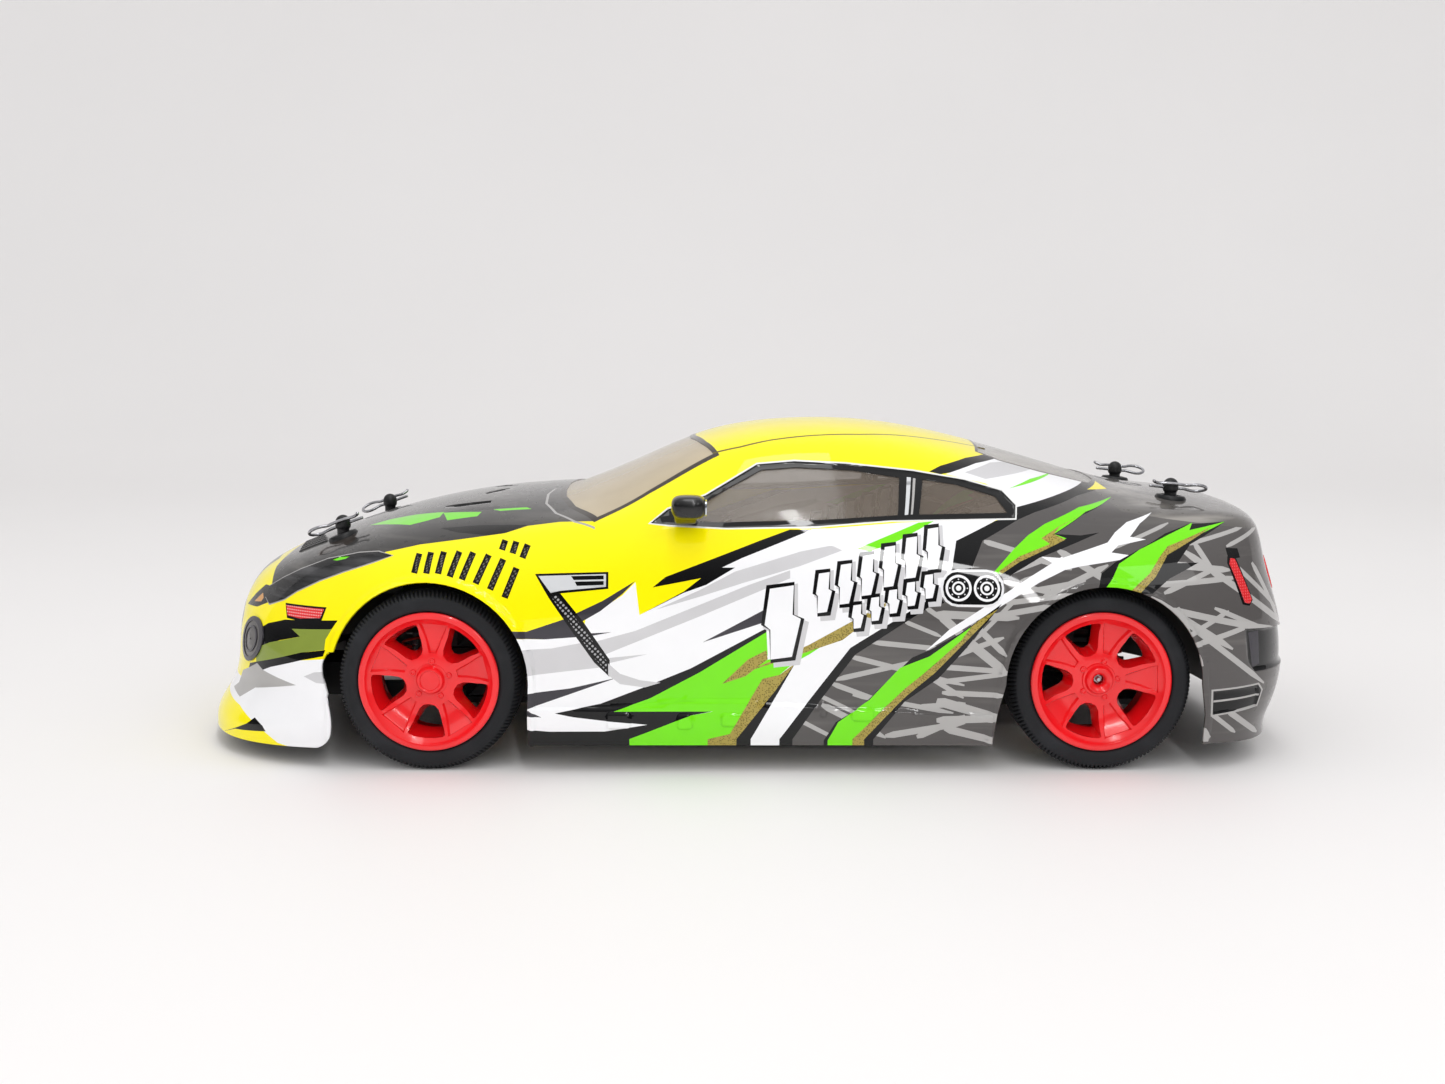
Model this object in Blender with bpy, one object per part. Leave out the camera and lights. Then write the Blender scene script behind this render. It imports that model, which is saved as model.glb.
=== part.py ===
"""A 1:10 four wheel drive drift car: printed body shell, clips, chassis tub, suspension, steering and drive train.

The numbers are millimetres, and MM turns them into Blender's metres where a mesh is made. +X is the car's left side,
-Y is its nose, +Z is up, and the model's origin is on the ground under the middle of the car's overall box.
"""

import math

import bmesh
import bpy
from mathutils import Matrix, Vector

MM = 0.001
SIDES = {"left": 1, "right": -1}

# ---- driving dimensions -------------------------------------------------------------------------------------------
FRONT_AXLE_Y = -122.0
REAR_AXLE_Y = 136.0
AXLE_Z = 35.0
AXLES = {"front": FRONT_AXLE_Y, "rear": REAR_AXLE_Y}
GAP = 0.35                      # running gap between neighbouring pieces
DRAWING_ZERO = Vector((0, 2.0, 0))   # where this drawing's zero stands from the middle of the car's box

TYRE_R, TYRE_BORE_R = 35.0, 24.9
TYRE_IN, TYRE_OUT = 68.0, 94.0  # the tyre's inner and outer faces, from the car's middle plane
RIM_LIP_R, RIM_SEAT_R = 27.0, 24.5
WHEEL_SEGMENTS = 25

ARM_IN_X, ARM_OUT_X = 22.0, 56.0
LOWER_ARM_Z, UPPER_ARM_Z = 22.0, 48.0
KINGPIN_X = 62.0
PIN_R = 1.5

SHOCK_TOP = (34.0, 70.0)        # x, z of the damper's upper and lower pins
SHOCK_FOOT = (46.0, 28.0)
SHOCK_OUT = 15.0                # how far the damper stands from the axle line, away from the cabin

SHAFT_Z = 25.5
GEAR_MODULE = 1.0
SPUR_TEETH, PINION_TEETH = 26, 10
GEAR_DISTANCE = GEAR_MODULE * (SPUR_TEETH + PINION_TEETH) / 2
SPUR_Y = 62.0

STEER_PIVOT_Y = -93.0
STEER_ARM = 14.0
RIGHT_ROD_Z, LEFT_ROD_Z = 49.2, 52.4

POST_X = 45.0
POSTS = {
    "front": {"y": -165.0, "skin_z": 85.2, "top_z": 94.2, "pitch": math.radians(20), "pull": -1},
    "rear": {"y": 174.0, "skin_z": 101.0, "top_z": 109.4, "pitch": math.radians(-6), "pull": 1},
}
POST_R, POST_STEM_R, POST_FLANGE_R = 3.1, 2.4, 5.2
CLIP_WIRE_R = 0.65
CLIP_DROP = 4.0                 # the clip's hole below the top of its post

SHELL_WALL = 1.2
MIRROR_Y = -22.0
ARCH_R = {"front": 38.5, "rear": 37.5}
ARCH_FOOT = {"front": 38.0, "rear": 39.5}

FLOOR_Z, FLOOR_TOP = 9.0, 11.5

# ---- the body shell's cage: what a subdivision surface rounds into the body ----------------------------------------
# Each ring goes round the half car at one height: nose centre, four points to the nose corner, twelve stations along
# the side, the tail corner and back to the tail centre, as (x, y, z).
RINGS = {
    "shoulder": [
        (0, -200, 75), (20, -198.5, 75), (40, -193, 75.5), (57, -183, 77), (70, -167, 79.5),
        (79, -148, 83), (84, -122, 87), (85, -92, 91), (85.5, -62, 94.5), (86, -38, 95.5), (86, -14, 96),
        (85.5, 20, 97), (84.5, 58, 98), (83, 95, 98.5), (82.5, 125, 99), (82, 155, 98.5), (80, 182, 97.5),
        (73, 199, 96.5), (59, 206.5, 97), (42, 210.5, 97.5), (21, 212, 98), (0, 212.5, 98),
    ],
    "upper": [
        (0, -211, 67), (21, -209, 67), (42, -203, 67.5), (61, -189, 68), (76, -171, 69.5),
        (88, -148, 73), (96, -122, 77), (94.5, -92, 78), (92.5, -62, 79), (92, -38, 79.5), (92, -14, 80),
        (92, 20, 80.5), (92.5, 58, 81), (95, 95, 81), (98, 125, 80.5), (97.5, 155, 80), (94, 182, 79),
        (81.5, 198.5, 79), (63, 206.5, 79), (43, 210, 79.5), (21, 211.5, 80), (0, 212, 80),
    ],
    "middle": [
        (0, -218, 50), (22, -216.5, 50), (44, -210.5, 50), (66, -199, 50.5), (82, -179, 51),
        (94, -152, 52), (101, -122, 54), (97, -92, 53), (94.5, -62, 52), (94, -38, 52), (94, -14, 52),
        (94, 20, 52), (95, 58, 52.5), (99, 95, 54), (102, 125, 55), (102, 155, 54.5), (97.5, 184, 53),
        (85, 205.5, 53), (66, 217, 52.5), (45, 220.5, 52), (22, 222.5, 52), (0, 223, 52),
    ],
    "lower": [
        (0, -216, 27), (23, -214.5, 27), (46, -209.5, 27), (67, -198, 27), (83, -180, 27),
        (94, -156, 27.5), (98.5, -122, 28), (97, -92, 27), (95.5, -62, 26.5), (95, -38, 26), (95, -14, 26),
        (95, 20, 26), (95.5, 58, 26), (98, 95, 27), (100, 125, 28), (100, 155, 28), (96, 184, 27),
        (84, 204.5, 27), (66, 216, 27), (45, 220, 27), (22, 222, 27), (0, 222.5, 27),
    ],
    "lip": [
        (0, -226.5, 15), (24, -225.5, 15), (48, -220, 15), (70, -207, 15), (86, -185, 16),
        (94, -158, 17), (97, -122, 18), (97, -92, 18), (96.5, -62, 18), (96.5, -38, 18), (96.5, -14, 18),
        (96.5, 20, 18), (96.5, 58, 18), (97, 95, 18), (98, 125, 19), (98, 155, 19), (95, 184, 18),
        (82, 200, 16), (65, 210, 15.5), (45, 213, 15), (22, 214.7, 15), (0, 215, 15),
    ],
    "bottom": [
        (0, -226.5, 7), (24, -225.5, 7), (48, -220, 7), (70, -207, 7), (85, -184, 7.5),
        (93, -158, 8.5), (96, -122, 10), (95.5, -92, 11), (95.5, -62, 11), (95.5, -38, 11), (95.5, -14, 11),
        (95.5, 20, 11), (95.5, 58, 11), (96, 95, 11), (97, 125, 11.5), (97, 155, 11.5), (94, 184, 11),
        (82, 200, 9.5), (65, 210.3, 9), (45, 213.3, 9), (22, 215, 9), (0, 215.5, 9),
    ],
}
# Bonnet, windscreen, roof, rear window and boot: for each station between nose and tail, from the roof rail to the
# middle plane.
TOP_ROWS = [
    [(66, -153, 86.5), (48, -158, 88.5), (25, -162, 89.5), (0, -163, 90)],
    [(68, -124, 93), (48, -127, 96.5), (25, -129, 97.5), (0, -130, 98)],
    [(68, -93, 96.5), (48, -96, 100), (25, -98, 102), (0, -99, 102.5)],
    [(71, -64, 97.5), (50, -68, 101), (26, -72, 103), (0, -74, 103.5)],
    [(69, -42, 103.5), (52, -44, 110), (27, -46, 113), (0, -47, 114)],
    [(66.5, -15, 112.5), (52, -15, 123), (27, -16, 127.5), (0, -16.5, 128.5)],
    [(65.5, 20, 116.5), (51, 20, 127.5), (27, 20, 131.8), (0, 20, 133)],
    [(65, 58, 115.5), (50, 58, 126.5), (26, 58, 130.8), (0, 58, 132)],
    [(66, 93, 109.5), (51, 93, 118.5), (26, 93, 123), (0, 93, 124.5)],
    [(68, 123, 103.5), (52, 124, 110), (27, 125, 114), (0, 126, 115)],
    [(67, 154, 100), (50, 156, 102.5), (26, 158, 104), (0, 159, 104.5)],
    [(64, 182, 99), (46, 185, 100), (24, 187, 100.8), (0, 188, 101)],
]
ACROSS = 4                      # cage steps from the middle plane to a corner
COWL_ROW = 4
COWL_CREASE = 0.75

# ---- materials ------------------------------------------------------------------------------------------------------
PAINT = {
    "body_yellow": ((0.95, 0.88, 0.02), 0.12, 0.0),
    "black_plastic": ((0.02, 0.02, 0.022), 0.45, 0.0),
    "red_plastic": ((0.85, 0.03, 0.03), 0.25, 0.0),
    "tyre_rubber": ((0.025, 0.026, 0.03), 0.75, 0.0),
    "steel_wire": ((0.62, 0.62, 0.64), 0.25, 1.0),
    "grey_nylon": ((0.09, 0.09, 0.1), 0.55, 0.0),
    "motor_can": ((0.6, 0.6, 0.62), 0.3, 1.0),
    "white_nylon": ((0.85, 0.85, 0.82), 0.4, 0.0),
    "battery_wrap": ((0.05, 0.16, 0.5), 0.35, 0.0),
    "spring_steel": ((0.8, 0.12, 0.08), 0.3, 0.0),
    "damper_body": ((0.03, 0.03, 0.035), 0.35, 0.0),
}


def material(name):
    found = bpy.data.materials.get(name)
    if found:
        return found
    colour, roughness, metallic = PAINT[name]
    made = bpy.data.materials.new(name)
    made.use_nodes = True
    shader = made.node_tree.nodes["Principled BSDF"]
    shader.inputs["Base Color"].default_value = (*colour, 1)
    shader.inputs["Roughness"].default_value = roughness
    shader.inputs["Metallic"].default_value = metallic
    return made


# ---- shapes: each returns a bmesh in millimetres --------------------------------------------------------------------
def lofted(sections, closed=False):
    """A tube through rings of points of equal count. It is closed on itself, or capped at both ends."""
    bm = bmesh.new()
    rings = [[bm.verts.new(p) for p in section] for section in sections]
    count = len(rings[0])
    last = len(rings) if closed else len(rings) - 1
    for i in range(last):
        a, b = rings[i], rings[(i + 1) % len(rings)]
        for k in range(count):
            n = (k + 1) % count
            bm.faces.new((a[k], a[n], b[n], b[k]))
    if not closed:
        bm.faces.new(rings[0])
        bm.faces.new(rings[-1])
    bmesh.ops.recalc_face_normals(bm, faces=bm.faces)
    return bm


def swap(axis, u, v, w):
    """The point with w along axis and u, v along the other two, in X, Y, Z order."""
    return {"X": (w, u, v), "Y": (u, w, v), "Z": (u, v, w)}[axis]


def prism(outline, axis, start, end):
    """An outline drawn across axis and extruded along it."""
    return lofted([[swap(axis, u, v, w) for u, v in outline] for w in (start, end)])


def box(low, high):
    (x0, y0, z0), (x1, y1, z1) = low, high
    return prism([(x0, y0), (x1, y0), (x1, y1), (x0, y1)], "Z", z0, z1)


def turned(profile, axis, centre, segments):
    """A solid of revolution: profile is (radius, distance along axis) from one end of the axis to the other."""
    u0, v0 = centre
    sections = []
    for radius, w in profile:
        ring = []
        for k in range(segments):
            angle = 2 * math.pi * (k + 0.5) / segments
            ring.append(swap(axis, u0 + radius * math.cos(angle), v0 + radius * math.sin(angle), w))
        sections.append(ring)
    return lofted(sections)


def rod(axis, centre, radius, start, end, segments=8):
    return turned([(radius, start), (radius, end)], axis, centre, segments)


def ring_of(profile, axis, centre, segments):
    """A closed ring of revolution from a closed profile of (radius, distance along axis)."""
    u0, v0 = centre
    sections = []
    for k in range(segments):
        angle = 2 * math.pi * (k + 0.5) / segments
        c, s = math.cos(angle), math.sin(angle)
        sections.append([swap(axis, u0 + r * c, v0 + r * s, w) for r, w in profile])
    return lofted(sections, closed=True)


def wire(points, radius, sides=5):
    """A round wire through points, with its ends cut square."""
    path = [Vector(p) for p in points]
    sections = []
    normal = None
    for i, p in enumerate(path):
        along = (path[min(i + 1, len(path) - 1)] - path[max(i - 1, 0)]).normalized()
        if normal is None:
            normal = along.orthogonal().normalized()
        normal = (normal - along * normal.dot(along)).normalized()
        other = along.cross(normal)
        ring = []
        for k in range(sides):
            angle = 2 * math.pi * k / sides
            ring.append(p + radius * (math.cos(angle) * normal + math.sin(angle) * other))
        sections.append(ring)
    return lofted(sections)


def bar(a, b, half_width, half_height):
    """A straight bar of rectangular section between two points at one height."""
    a, b = Vector(a), Vector(b)
    across = (b - a).cross(Vector((0, 0, 1))).normalized() * half_width
    up = Vector((0, 0, half_height))
    return lofted([[p - across - up, p + across - up, p + across + up, p - across + up] for p in (a, b)])


def moved(bm, matrix):
    bmesh.ops.transform(bm, matrix=matrix, verts=bm.verts)
    return bm


def mirrored(bm, side):
    """The same shape on the left (1) or the right (-1) of the car."""
    if side < 0:
        bmesh.ops.scale(bm, vec=(-1, 1, 1), verts=bm.verts)
        bmesh.ops.reverse_faces(bm, faces=bm.faces)
    return bm


def mesh_object(name, bm):
    mesh = bpy.data.meshes.new(name)
    bm.to_mesh(mesh)
    bm.free()
    obj = bpy.data.objects.new(name, mesh)
    bpy.context.scene.collection.objects.link(obj)
    return obj


def combined(base, adds=(), cuts=()):
    """base with adds joined on and cuts taken away, as a bmesh."""
    obj = mesh_object("base", base)
    helpers = []
    for operation, shapes in (("UNION", adds), ("DIFFERENCE", cuts)):
        for shape in shapes:
            helper = mesh_object("tool", shape)
            helpers.append(helper)
            boolean = obj.modifiers.new("boolean", "BOOLEAN")
            boolean.operation = operation
            boolean.object = helper
            boolean.solver = "EXACT"
    bpy.context.view_layer.update()
    evaluated = obj.evaluated_get(bpy.context.evaluated_depsgraph_get())
    bm = bmesh.new()
    bm.from_mesh(evaluated.to_mesh())
    evaluated.to_mesh_clear()
    for used in (obj, *helpers):
        bpy.data.objects.remove(used)
    return bm


def part(name, bm, paint, pivot, parent=None, smooth_degrees=35):
    """Puts a shape into the scene as a named object in metres, with its origin on the pivot."""
    bmesh.ops.translate(bm, vec=-Vector(pivot), verts=bm.verts)
    bmesh.ops.scale(bm, vec=(MM, MM, MM), verts=bm.verts)
    obj = mesh_object(name, bm)
    obj.location = (Vector(pivot) + DRAWING_ZERO) * MM
    obj.data.materials.append(material(paint))
    obj.data.shade_smooth()
    obj.data.set_sharp_from_angle(angle=math.radians(smooth_degrees))
    if parent:
        bpy.context.view_layer.update()
        obj.parent = parent
        obj.matrix_parent_inverse = parent.matrix_world.inverted()
    return obj


# ---- body shell -----------------------------------------------------------------------------------------------------
def shell_cage():
    """The whole body's cage: rings round the car below the shoulder, and rows across it above."""
    bm = bmesh.new()
    seen = {}

    def vertex(p):
        key = tuple(p)
        if key not in seen:
            seen[key] = bm.verts.new(p)
        return seen[key]

    rings = list(RINGS.values())
    shoulder = rings[0]
    for side in (1, -1):
        def at(p):
            return vertex((side * p[0] if p[0] else 0, p[1], p[2]))

        for upper, lower in zip(rings, rings[1:]):
            for i in range(len(upper) - 1):
                face = [at(upper[i]), at(lower[i]), at(lower[i + 1]), at(upper[i + 1])]
                bm.faces.new(face)
        stations = len(shoulder) - 2 * ACROSS
        rows = [[shoulder[ACROSS - k] for k in range(ACROSS + 1)]]
        rows += [[shoulder[ACROSS + b + 1], *TOP_ROWS[b]] for b in range(stations - 2)]
        rows += [[shoulder[ACROSS + stations - 1 + k] for k in range(ACROSS + 1)]]
        for near, far in zip(rows, rows[1:]):
            for k in range(ACROSS):
                bm.faces.new([at(near[k]), at(far[k]), at(far[k + 1]), at(near[k + 1])])
        crease = bm.edges.layers.float.get("crease_edge") or bm.edges.layers.float.new("crease_edge")
        cowl = rows[COWL_ROW]
        for k in range(ACROSS):
            edge = bm.edges.get((at(cowl[k]), at(cowl[k + 1])))
            edge[crease] = COWL_CREASE
    bmesh.ops.recalc_face_normals(bm, faces=bm.faces)
    return bm


def arch_cutter(axle):
    """The wheel opening's outline, cut straight through both sides: a half circle over two straight legs."""
    y0, radius, foot = AXLES[axle], ARCH_R[axle], ARCH_FOOT[axle]
    steps = 16
    outline = [(y0 - foot, -20.0), (y0 + foot, -20.0), (y0 + foot, AXLE_Z - 12)]
    for k in range(steps + 1):
        angle = math.pi * k / steps
        outline.append((y0 + radius * math.cos(angle), AXLE_Z + radius * math.sin(angle)))
    outline.append((y0 - foot, AXLE_Z - 12))
    return prism(outline, "X", -130.0, 130.0)


def body_shell():
    obj = mesh_object("cage", shell_cage())
    rounding = obj.modifiers.new("rounding", "SUBSURF")
    rounding.levels = rounding.render_levels = 1
    wall = obj.modifiers.new("wall", "SOLIDIFY")
    wall.thickness = SHELL_WALL
    wall.offset = -1
    bpy.context.view_layer.update()
    evaluated = obj.evaluated_get(bpy.context.evaluated_depsgraph_get())
    bm = bmesh.new()
    bm.from_mesh(evaluated.to_mesh())
    evaluated.to_mesh_clear()
    bpy.data.objects.remove(obj)
    cuts = [arch_cutter(axle) for axle in AXLES]
    for post in POSTS.values():
        for side in SIDES.values():
            hole = rod("Z", (side * POST_X, post["y"]), POST_R + 0.7, 60, 130)
            cuts.append(hole)
    bm = combined(bm, cuts=cuts)
    return part("body_shell", bm, "body_yellow", (0, 0, AXLE_Z))


def mirror(name, side, shell):
    """A door mirror: a rounded housing on a short foot that meets the door below the window."""
    rings = []
    for x, half_y, half_z in ((87.5, 4.0, 3.0), (89.5, 6.2, 4.6), (96.0, 7.4, 5.6), (101.0, 6.6, 5.0), (103.0, 4.0, 3.0)):
        ring = []
        for k in range(12):
            angle = 2 * math.pi * k / 12
            c, s = math.cos(angle), math.sin(angle)
            corner = (abs(c) ** 3 + abs(s) ** 3) ** (-1 / 3)
            ring.append((x, MIRROR_Y + half_y * corner * c, 103.5 + half_z * corner * s))
        rings.append(ring)
    foot = prism([(86.0, 95.0), (92.0, 97.0), (96.0, 101.0), (88.0, 101.0)], "Y", MIRROR_Y - 3, MIRROR_Y + 3)
    bm = mirrored(combined(lofted(rings), [foot]), side)
    return part(name, bm, "black_plastic", (side * 88.0, MIRROR_Y, 100.0), shell)


def clip_hole(post):
    return Vector((0, POSTS[post]["y"], POSTS[post]["top_z"] - CLIP_DROP))


def clip_tilt(post):
    """Turns a shape drawn level at the post's hole to the slope of the panel under it."""
    at = clip_hole(post)
    turn = Matrix.Rotation(POSTS[post]["pitch"], 4, "X")
    return Matrix.Translation(at) @ turn @ Matrix.Translation(-at)


def body_post(name, post, side, shell):
    """A post that plugs into its socket below the shell, with a flange under the panel and a cross hole on top."""
    data = POSTS[post]
    y, skin, top = data["y"], data["skin_z"], data["top_z"]
    flange = skin - SHELL_WALL - GAP - (3.2 if post == "front" else 1.6)
    socket = skin - 34.0
    profile = [
        (POST_STEM_R, socket), (POST_STEM_R, flange - 2.0), (POST_FLANGE_R, flange - 1.2), (POST_FLANGE_R, flange),
        (POST_R, flange + 0.01), (POST_R, top - 2.4), (2.4, top - 0.8), (1.0, top),
    ]
    post_body = turned(profile, "Z", (POST_X, y), 10)
    hole_at = clip_hole(post)
    hole = rod("Y", (POST_X, hole_at.z), CLIP_WIRE_R + 0.45, y - 12, y + 12, 8)
    bm = mirrored(combined(post_body, cuts=[moved(hole, clip_tilt(post))]), side)
    return part(name, bm, "black_plastic", (side * POST_X, y, skin), shell)


def body_clip(name, post, side, shell):
    """A wire clip: one straight leg through the post, a round finger loop, and a second leg sprung past the post."""
    at = clip_hole(post)
    pull = POSTS[post]["pull"]
    loop_r = 3.4
    loop_y = 10.0
    points = [(POST_X, -8.5), (POST_X, -3.0), (POST_X, 3.0), (POST_X + 0.2, loop_y - 4.5)]
    centre = (POST_X + 2.2, loop_y)
    for k in range(9):
        angle = math.radians(215 - 30 * k)
        points.append((centre[0] + loop_r * math.cos(angle), centre[1] + loop_r * math.sin(angle)))
    points += [(POST_X + 4.1, 5.4), (POST_X + 4.6, 3.0), (POST_X + 4.9, 0.0), (POST_X + 4.6, -3.0), (POST_X + 4.2, -6.0),
               (POST_X + 4.6, -8.0)]
    path = [(x, at.y + pull * y, at.z) for x, y in points]
    bm = mirrored(moved(wire(path, CLIP_WIRE_R), clip_tilt(post)), side)
    return part(name, bm, "steel_wire", (side * POST_X, at.y, at.z), shell)


# ---- chassis --------------------------------------------------------------------------------------------------------
def chassis_tub():
    """The moulded floor: a narrow keel under each gearbox and a wide walled bay between them."""
    keel, bay = 17.0, 61.0
    half = [
        (keel, -172), (keel, -84), (30, -78), (bay - 6, -72), (bay, -62), (bay, 82), (bay - 8, 92), (30, 98),
        (keel + 4, 104), (keel + 4, 182),
    ]
    outline = half + [(-x, y) for x, y in reversed(half)]
    bay_half = [(30, -74), (bay - 8, -69), (bay - 2.5, -60), (bay - 2.5, 80), (bay - 9, 88), (30, 94)]
    walls = [(30, -78), (bay - 6, -72), (bay, -62), (bay, 82), (bay - 8, 92), (30, 98)]
    wall_outline = walls + [(-x, y) for x, y in reversed(walls)]
    inner = bay_half + [(-x, y) for x, y in reversed(bay_half)]
    floor = prism(outline, "Z", FLOOR_Z, FLOOR_TOP)
    rim = prism(wall_outline, "Z", FLOOR_Z + 0.5, 22.0)
    hollow = prism(inner, "Z", FLOOR_TOP, 40.0)
    doors = [box((-15, y0, FLOOR_TOP), (15, y1, 40)) for y0, y1 in ((-90, -60), (80, 110))]
    divider = box((8.0, -50, FLOOR_Z + 0.5), (10.0, 50, 20.0))
    bm = combined(combined(floor, [rim]), [], [hollow, *doors])
    bm = combined(bm, [divider])
    return part("chassis_tub", bm, "black_plastic", (0, 0, FLOOR_Z))


def front_bumper(tub):
    """A crash bumper: a bowed beam ahead of the tub on two struts."""
    outline = [
        (-58, -184), (-44, -197), (-20, -204), (20, -204), (44, -197), (58, -184),
        (50, -178), (38, -186), (14, -190), (14, -168), (-14, -168), (-14, -190), (-38, -186), (-50, -178),
    ]
    beam = prism(outline, "Z", FLOOR_TOP + GAP, 26.0)
    slot = box((-9, -200.0, 0), (9, -194.0, 60))
    return part("front_bumper", combined(beam, cuts=[slot]), "black_plastic", (0, -180, 12), tub)


def bulkhead(name, axle, tub):
    """Gearbox, damper tower and post sockets of one axle, with the lugs that carry its arms."""
    y0 = AXLES[axle]
    out = -1 if axle == "front" else 1           # the way the dampers and sockets face, away from the cabin
    post = POSTS[axle]

    def ys(a, b):
        return sorted((y0 + out * a, y0 + out * b))

    def slab(x0, x1, a, b, z0, z1):
        near, far = ys(a, b)
        return box((x0, near, z0), (x1, far, z1))

    case = slab(-15, 15, -19, 17, FLOOR_TOP + GAP, 52)
    adds = [slab(-11, 11, -22, -12, 16, 35)]
    tower = [(-10, 48), (-38, 64), (-40, 76), (-29, 78), (-14, 64), (14, 64), (29, 78), (40, 76), (38, 64), (10, 48)]
    near, far = ys(3, 7)
    adds.append(prism(tower, "Y", near, far))
    foot, top = SHOCK_TOP
    near, far = ys(6, SHOCK_OUT + 3.5)
    for side in SIDES.values():
        adds.append(rod("Y", (side * foot, top), PIN_R, near, far))
        for z in (LOWER_ARM_Z, UPPER_ARM_Z):
            for centre in (-12.5, 9.5):
                a, b = ys(centre, centre + 3)
                lug = [(13, z - 3.5), (24.5, z - 3.5), (25.5, z), (24.5, z + 3.5), (13, z + 3.5)]
                adds.append(prism([(side * x, zz) for x, zz in lug], "Y", a, b))
            a, b = ys(-12.5, 12.5)
            adds.append(rod("Y", (side * ARM_IN_X, z), PIN_R, a, b))
        socket_top = post["skin_z"] - 14.0
        adds.append(rod("Z", (side * POST_X, post["y"]), POST_STEM_R + 2.4, socket_top - 16, socket_top))
    boom_end = abs(post["y"] - y0)
    boom_z = post["skin_z"] - 27.0
    adds.append(slab(-6, 6, 5, boom_end + 3, boom_z - 3, boom_z + 3))
    adds.append(slab(-POST_X, POST_X, boom_end - 3, boom_end + 3, boom_z - 3, boom_z + 3))
    adds.append(slab(-6, 6, 5, 11, 48, boom_z + 3))
    cuts = []
    for side in SIDES.values():
        cuts.append(rod("Z", (side * POST_X, post["y"]), POST_STEM_R + GAP, post["skin_z"] - 36, 120))
        a, b = ys(-17, 13)
        cuts.append(turned([(6.5, side * 12.0), (6.5, side * 20.0)] if side > 0 else [(6.5, -20.0), (6.5, -12.0)],
                           "X", (y0, AXLE_Z), 10))
    near, far = ys(-30, -10)
    cuts.append(rod("Y", (0, SHAFT_Z), 3.4, near, far))
    bm = combined(case, adds, cuts)
    return part(name, bm, "grey_nylon", (0, y0, AXLE_Z), tub)


# ---- drive train ----------------------------------------------------------------------------------------------------
def gear(teeth, bore, centre, y0, y1, phase):
    """A spur gear with straight flanks and working backlash, its axis along Y."""
    pitch_r = GEAR_MODULE * teeth / 2
    root, tip = pitch_r - 1.15, pitch_r + 0.7
    step = 2 * math.pi / teeth
    outline = []
    for k in range(teeth):
        for radius, share in ((root, -0.30), (tip, -0.13), (tip, 0.13), (root, 0.30)):
            angle = step * (k + share) + phase
            outline.append((centre[0] + radius * math.cos(angle), centre[1] + radius * math.sin(angle)))
    return combined(prism(outline, "Y", y0, y1), cuts=[rod("Y", centre, bore, y0 - 5, y1 + 5)])


def drive_train(tub):
    shaft_profile = [
        (2.0, -106.0), (2.0, SPUR_Y - 8), (3.2, SPUR_Y - 7.5), (3.2, SPUR_Y - 0.5), (2.0, SPUR_Y), (2.0, 120.0),
    ]
    shaft = part("centre_shaft", turned(shaft_profile, "Y", (0, SHAFT_Z), 10), "steel_wire", (0, SPUR_Y, SHAFT_Z), tub)
    spur = gear(SPUR_TEETH, 2.0 + GAP, (0, SHAFT_Z), SPUR_Y + 0.2, SPUR_Y + 5.2, 0.0)
    part("spur_gear", spur, "white_nylon", (0, SPUR_Y, SHAFT_Z), shaft)
    centre = (-GEAR_DISTANCE, SHAFT_Z)
    can = turned([(5, 20.0), (13.6, 20.5), (14, 21.5), (14, 56.0), (13.4, 57.0), (5, 57.0), (5, 58.4)], "Y", centre, 24)
    bore = rod("Y", centre, 1.3, 50, 70)
    bracket = box((centre[0] - 9, 57.0 - 3.0, FLOOR_TOP + GAP), (centre[0] + 9, 57.4, SHAFT_Z))
    motor = part("motor", combined(can, [bracket], [bore]), "motor_can", (*centre[:1], 40.0, SHAFT_Z), tub)
    half_tooth = math.pi / PINION_TEETH
    teeth = gear(PINION_TEETH, 0.5, centre, SPUR_Y + 0.4, SPUR_Y + 5.6, half_tooth)
    stub = rod("Y", centre, 1.0, 51.0, SPUR_Y + 6.4)
    part("motor_pinion", combined(teeth, [stub]), "steel_wire", (centre[0], SPUR_Y, SHAFT_Z), motor)


def electrics(tub):
    cells = []
    for x in (21.0, 40.0):
        cells.append(rod("Y", (x, 21.6), 9.6, -36, 34, 16))
    wrap = box((20.0, -35.0, 12.6), (41.0, 33.0, 30.4))
    lead = wire([(30.0, 30.0, 24.0), (30.0, 40.0, 26.0), (24.0, 50.0, 24.0), (20.0, 56.0, 18.0)], 1.6)
    part("battery_pack", combined(cells[0], [cells[1], wrap, lead]), "battery_wrap", (30.5, 0, 21), tub)
    box_z = FLOOR_TOP + GAP
    body = box((-52.0, -44.0, box_z), (-10.0, 6.0, 28.0))
    fins = [box((-48.0, -20.0 + 4 * k, 27.0), (-16.0, -18.4 + 4 * k, 33.0)) for k in range(6)]
    slot = box((-34.0, -40.0, 26.6), (-26.0, -28.0, 40.0))
    electronics = part("electronics_box", combined(body, fins, [slot]), "black_plastic", (-31, -19, 20), tub)
    knob = combined(box((-33.4, -39.4, 26.95), (-26.6, -33.0, 28.6)), [box((-31.6, -37.6, 28.0), (-28.4, -34.8, 31.0))])
    part("power_switch", knob, "red_plastic", (-30, -36, 28), electronics)


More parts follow.
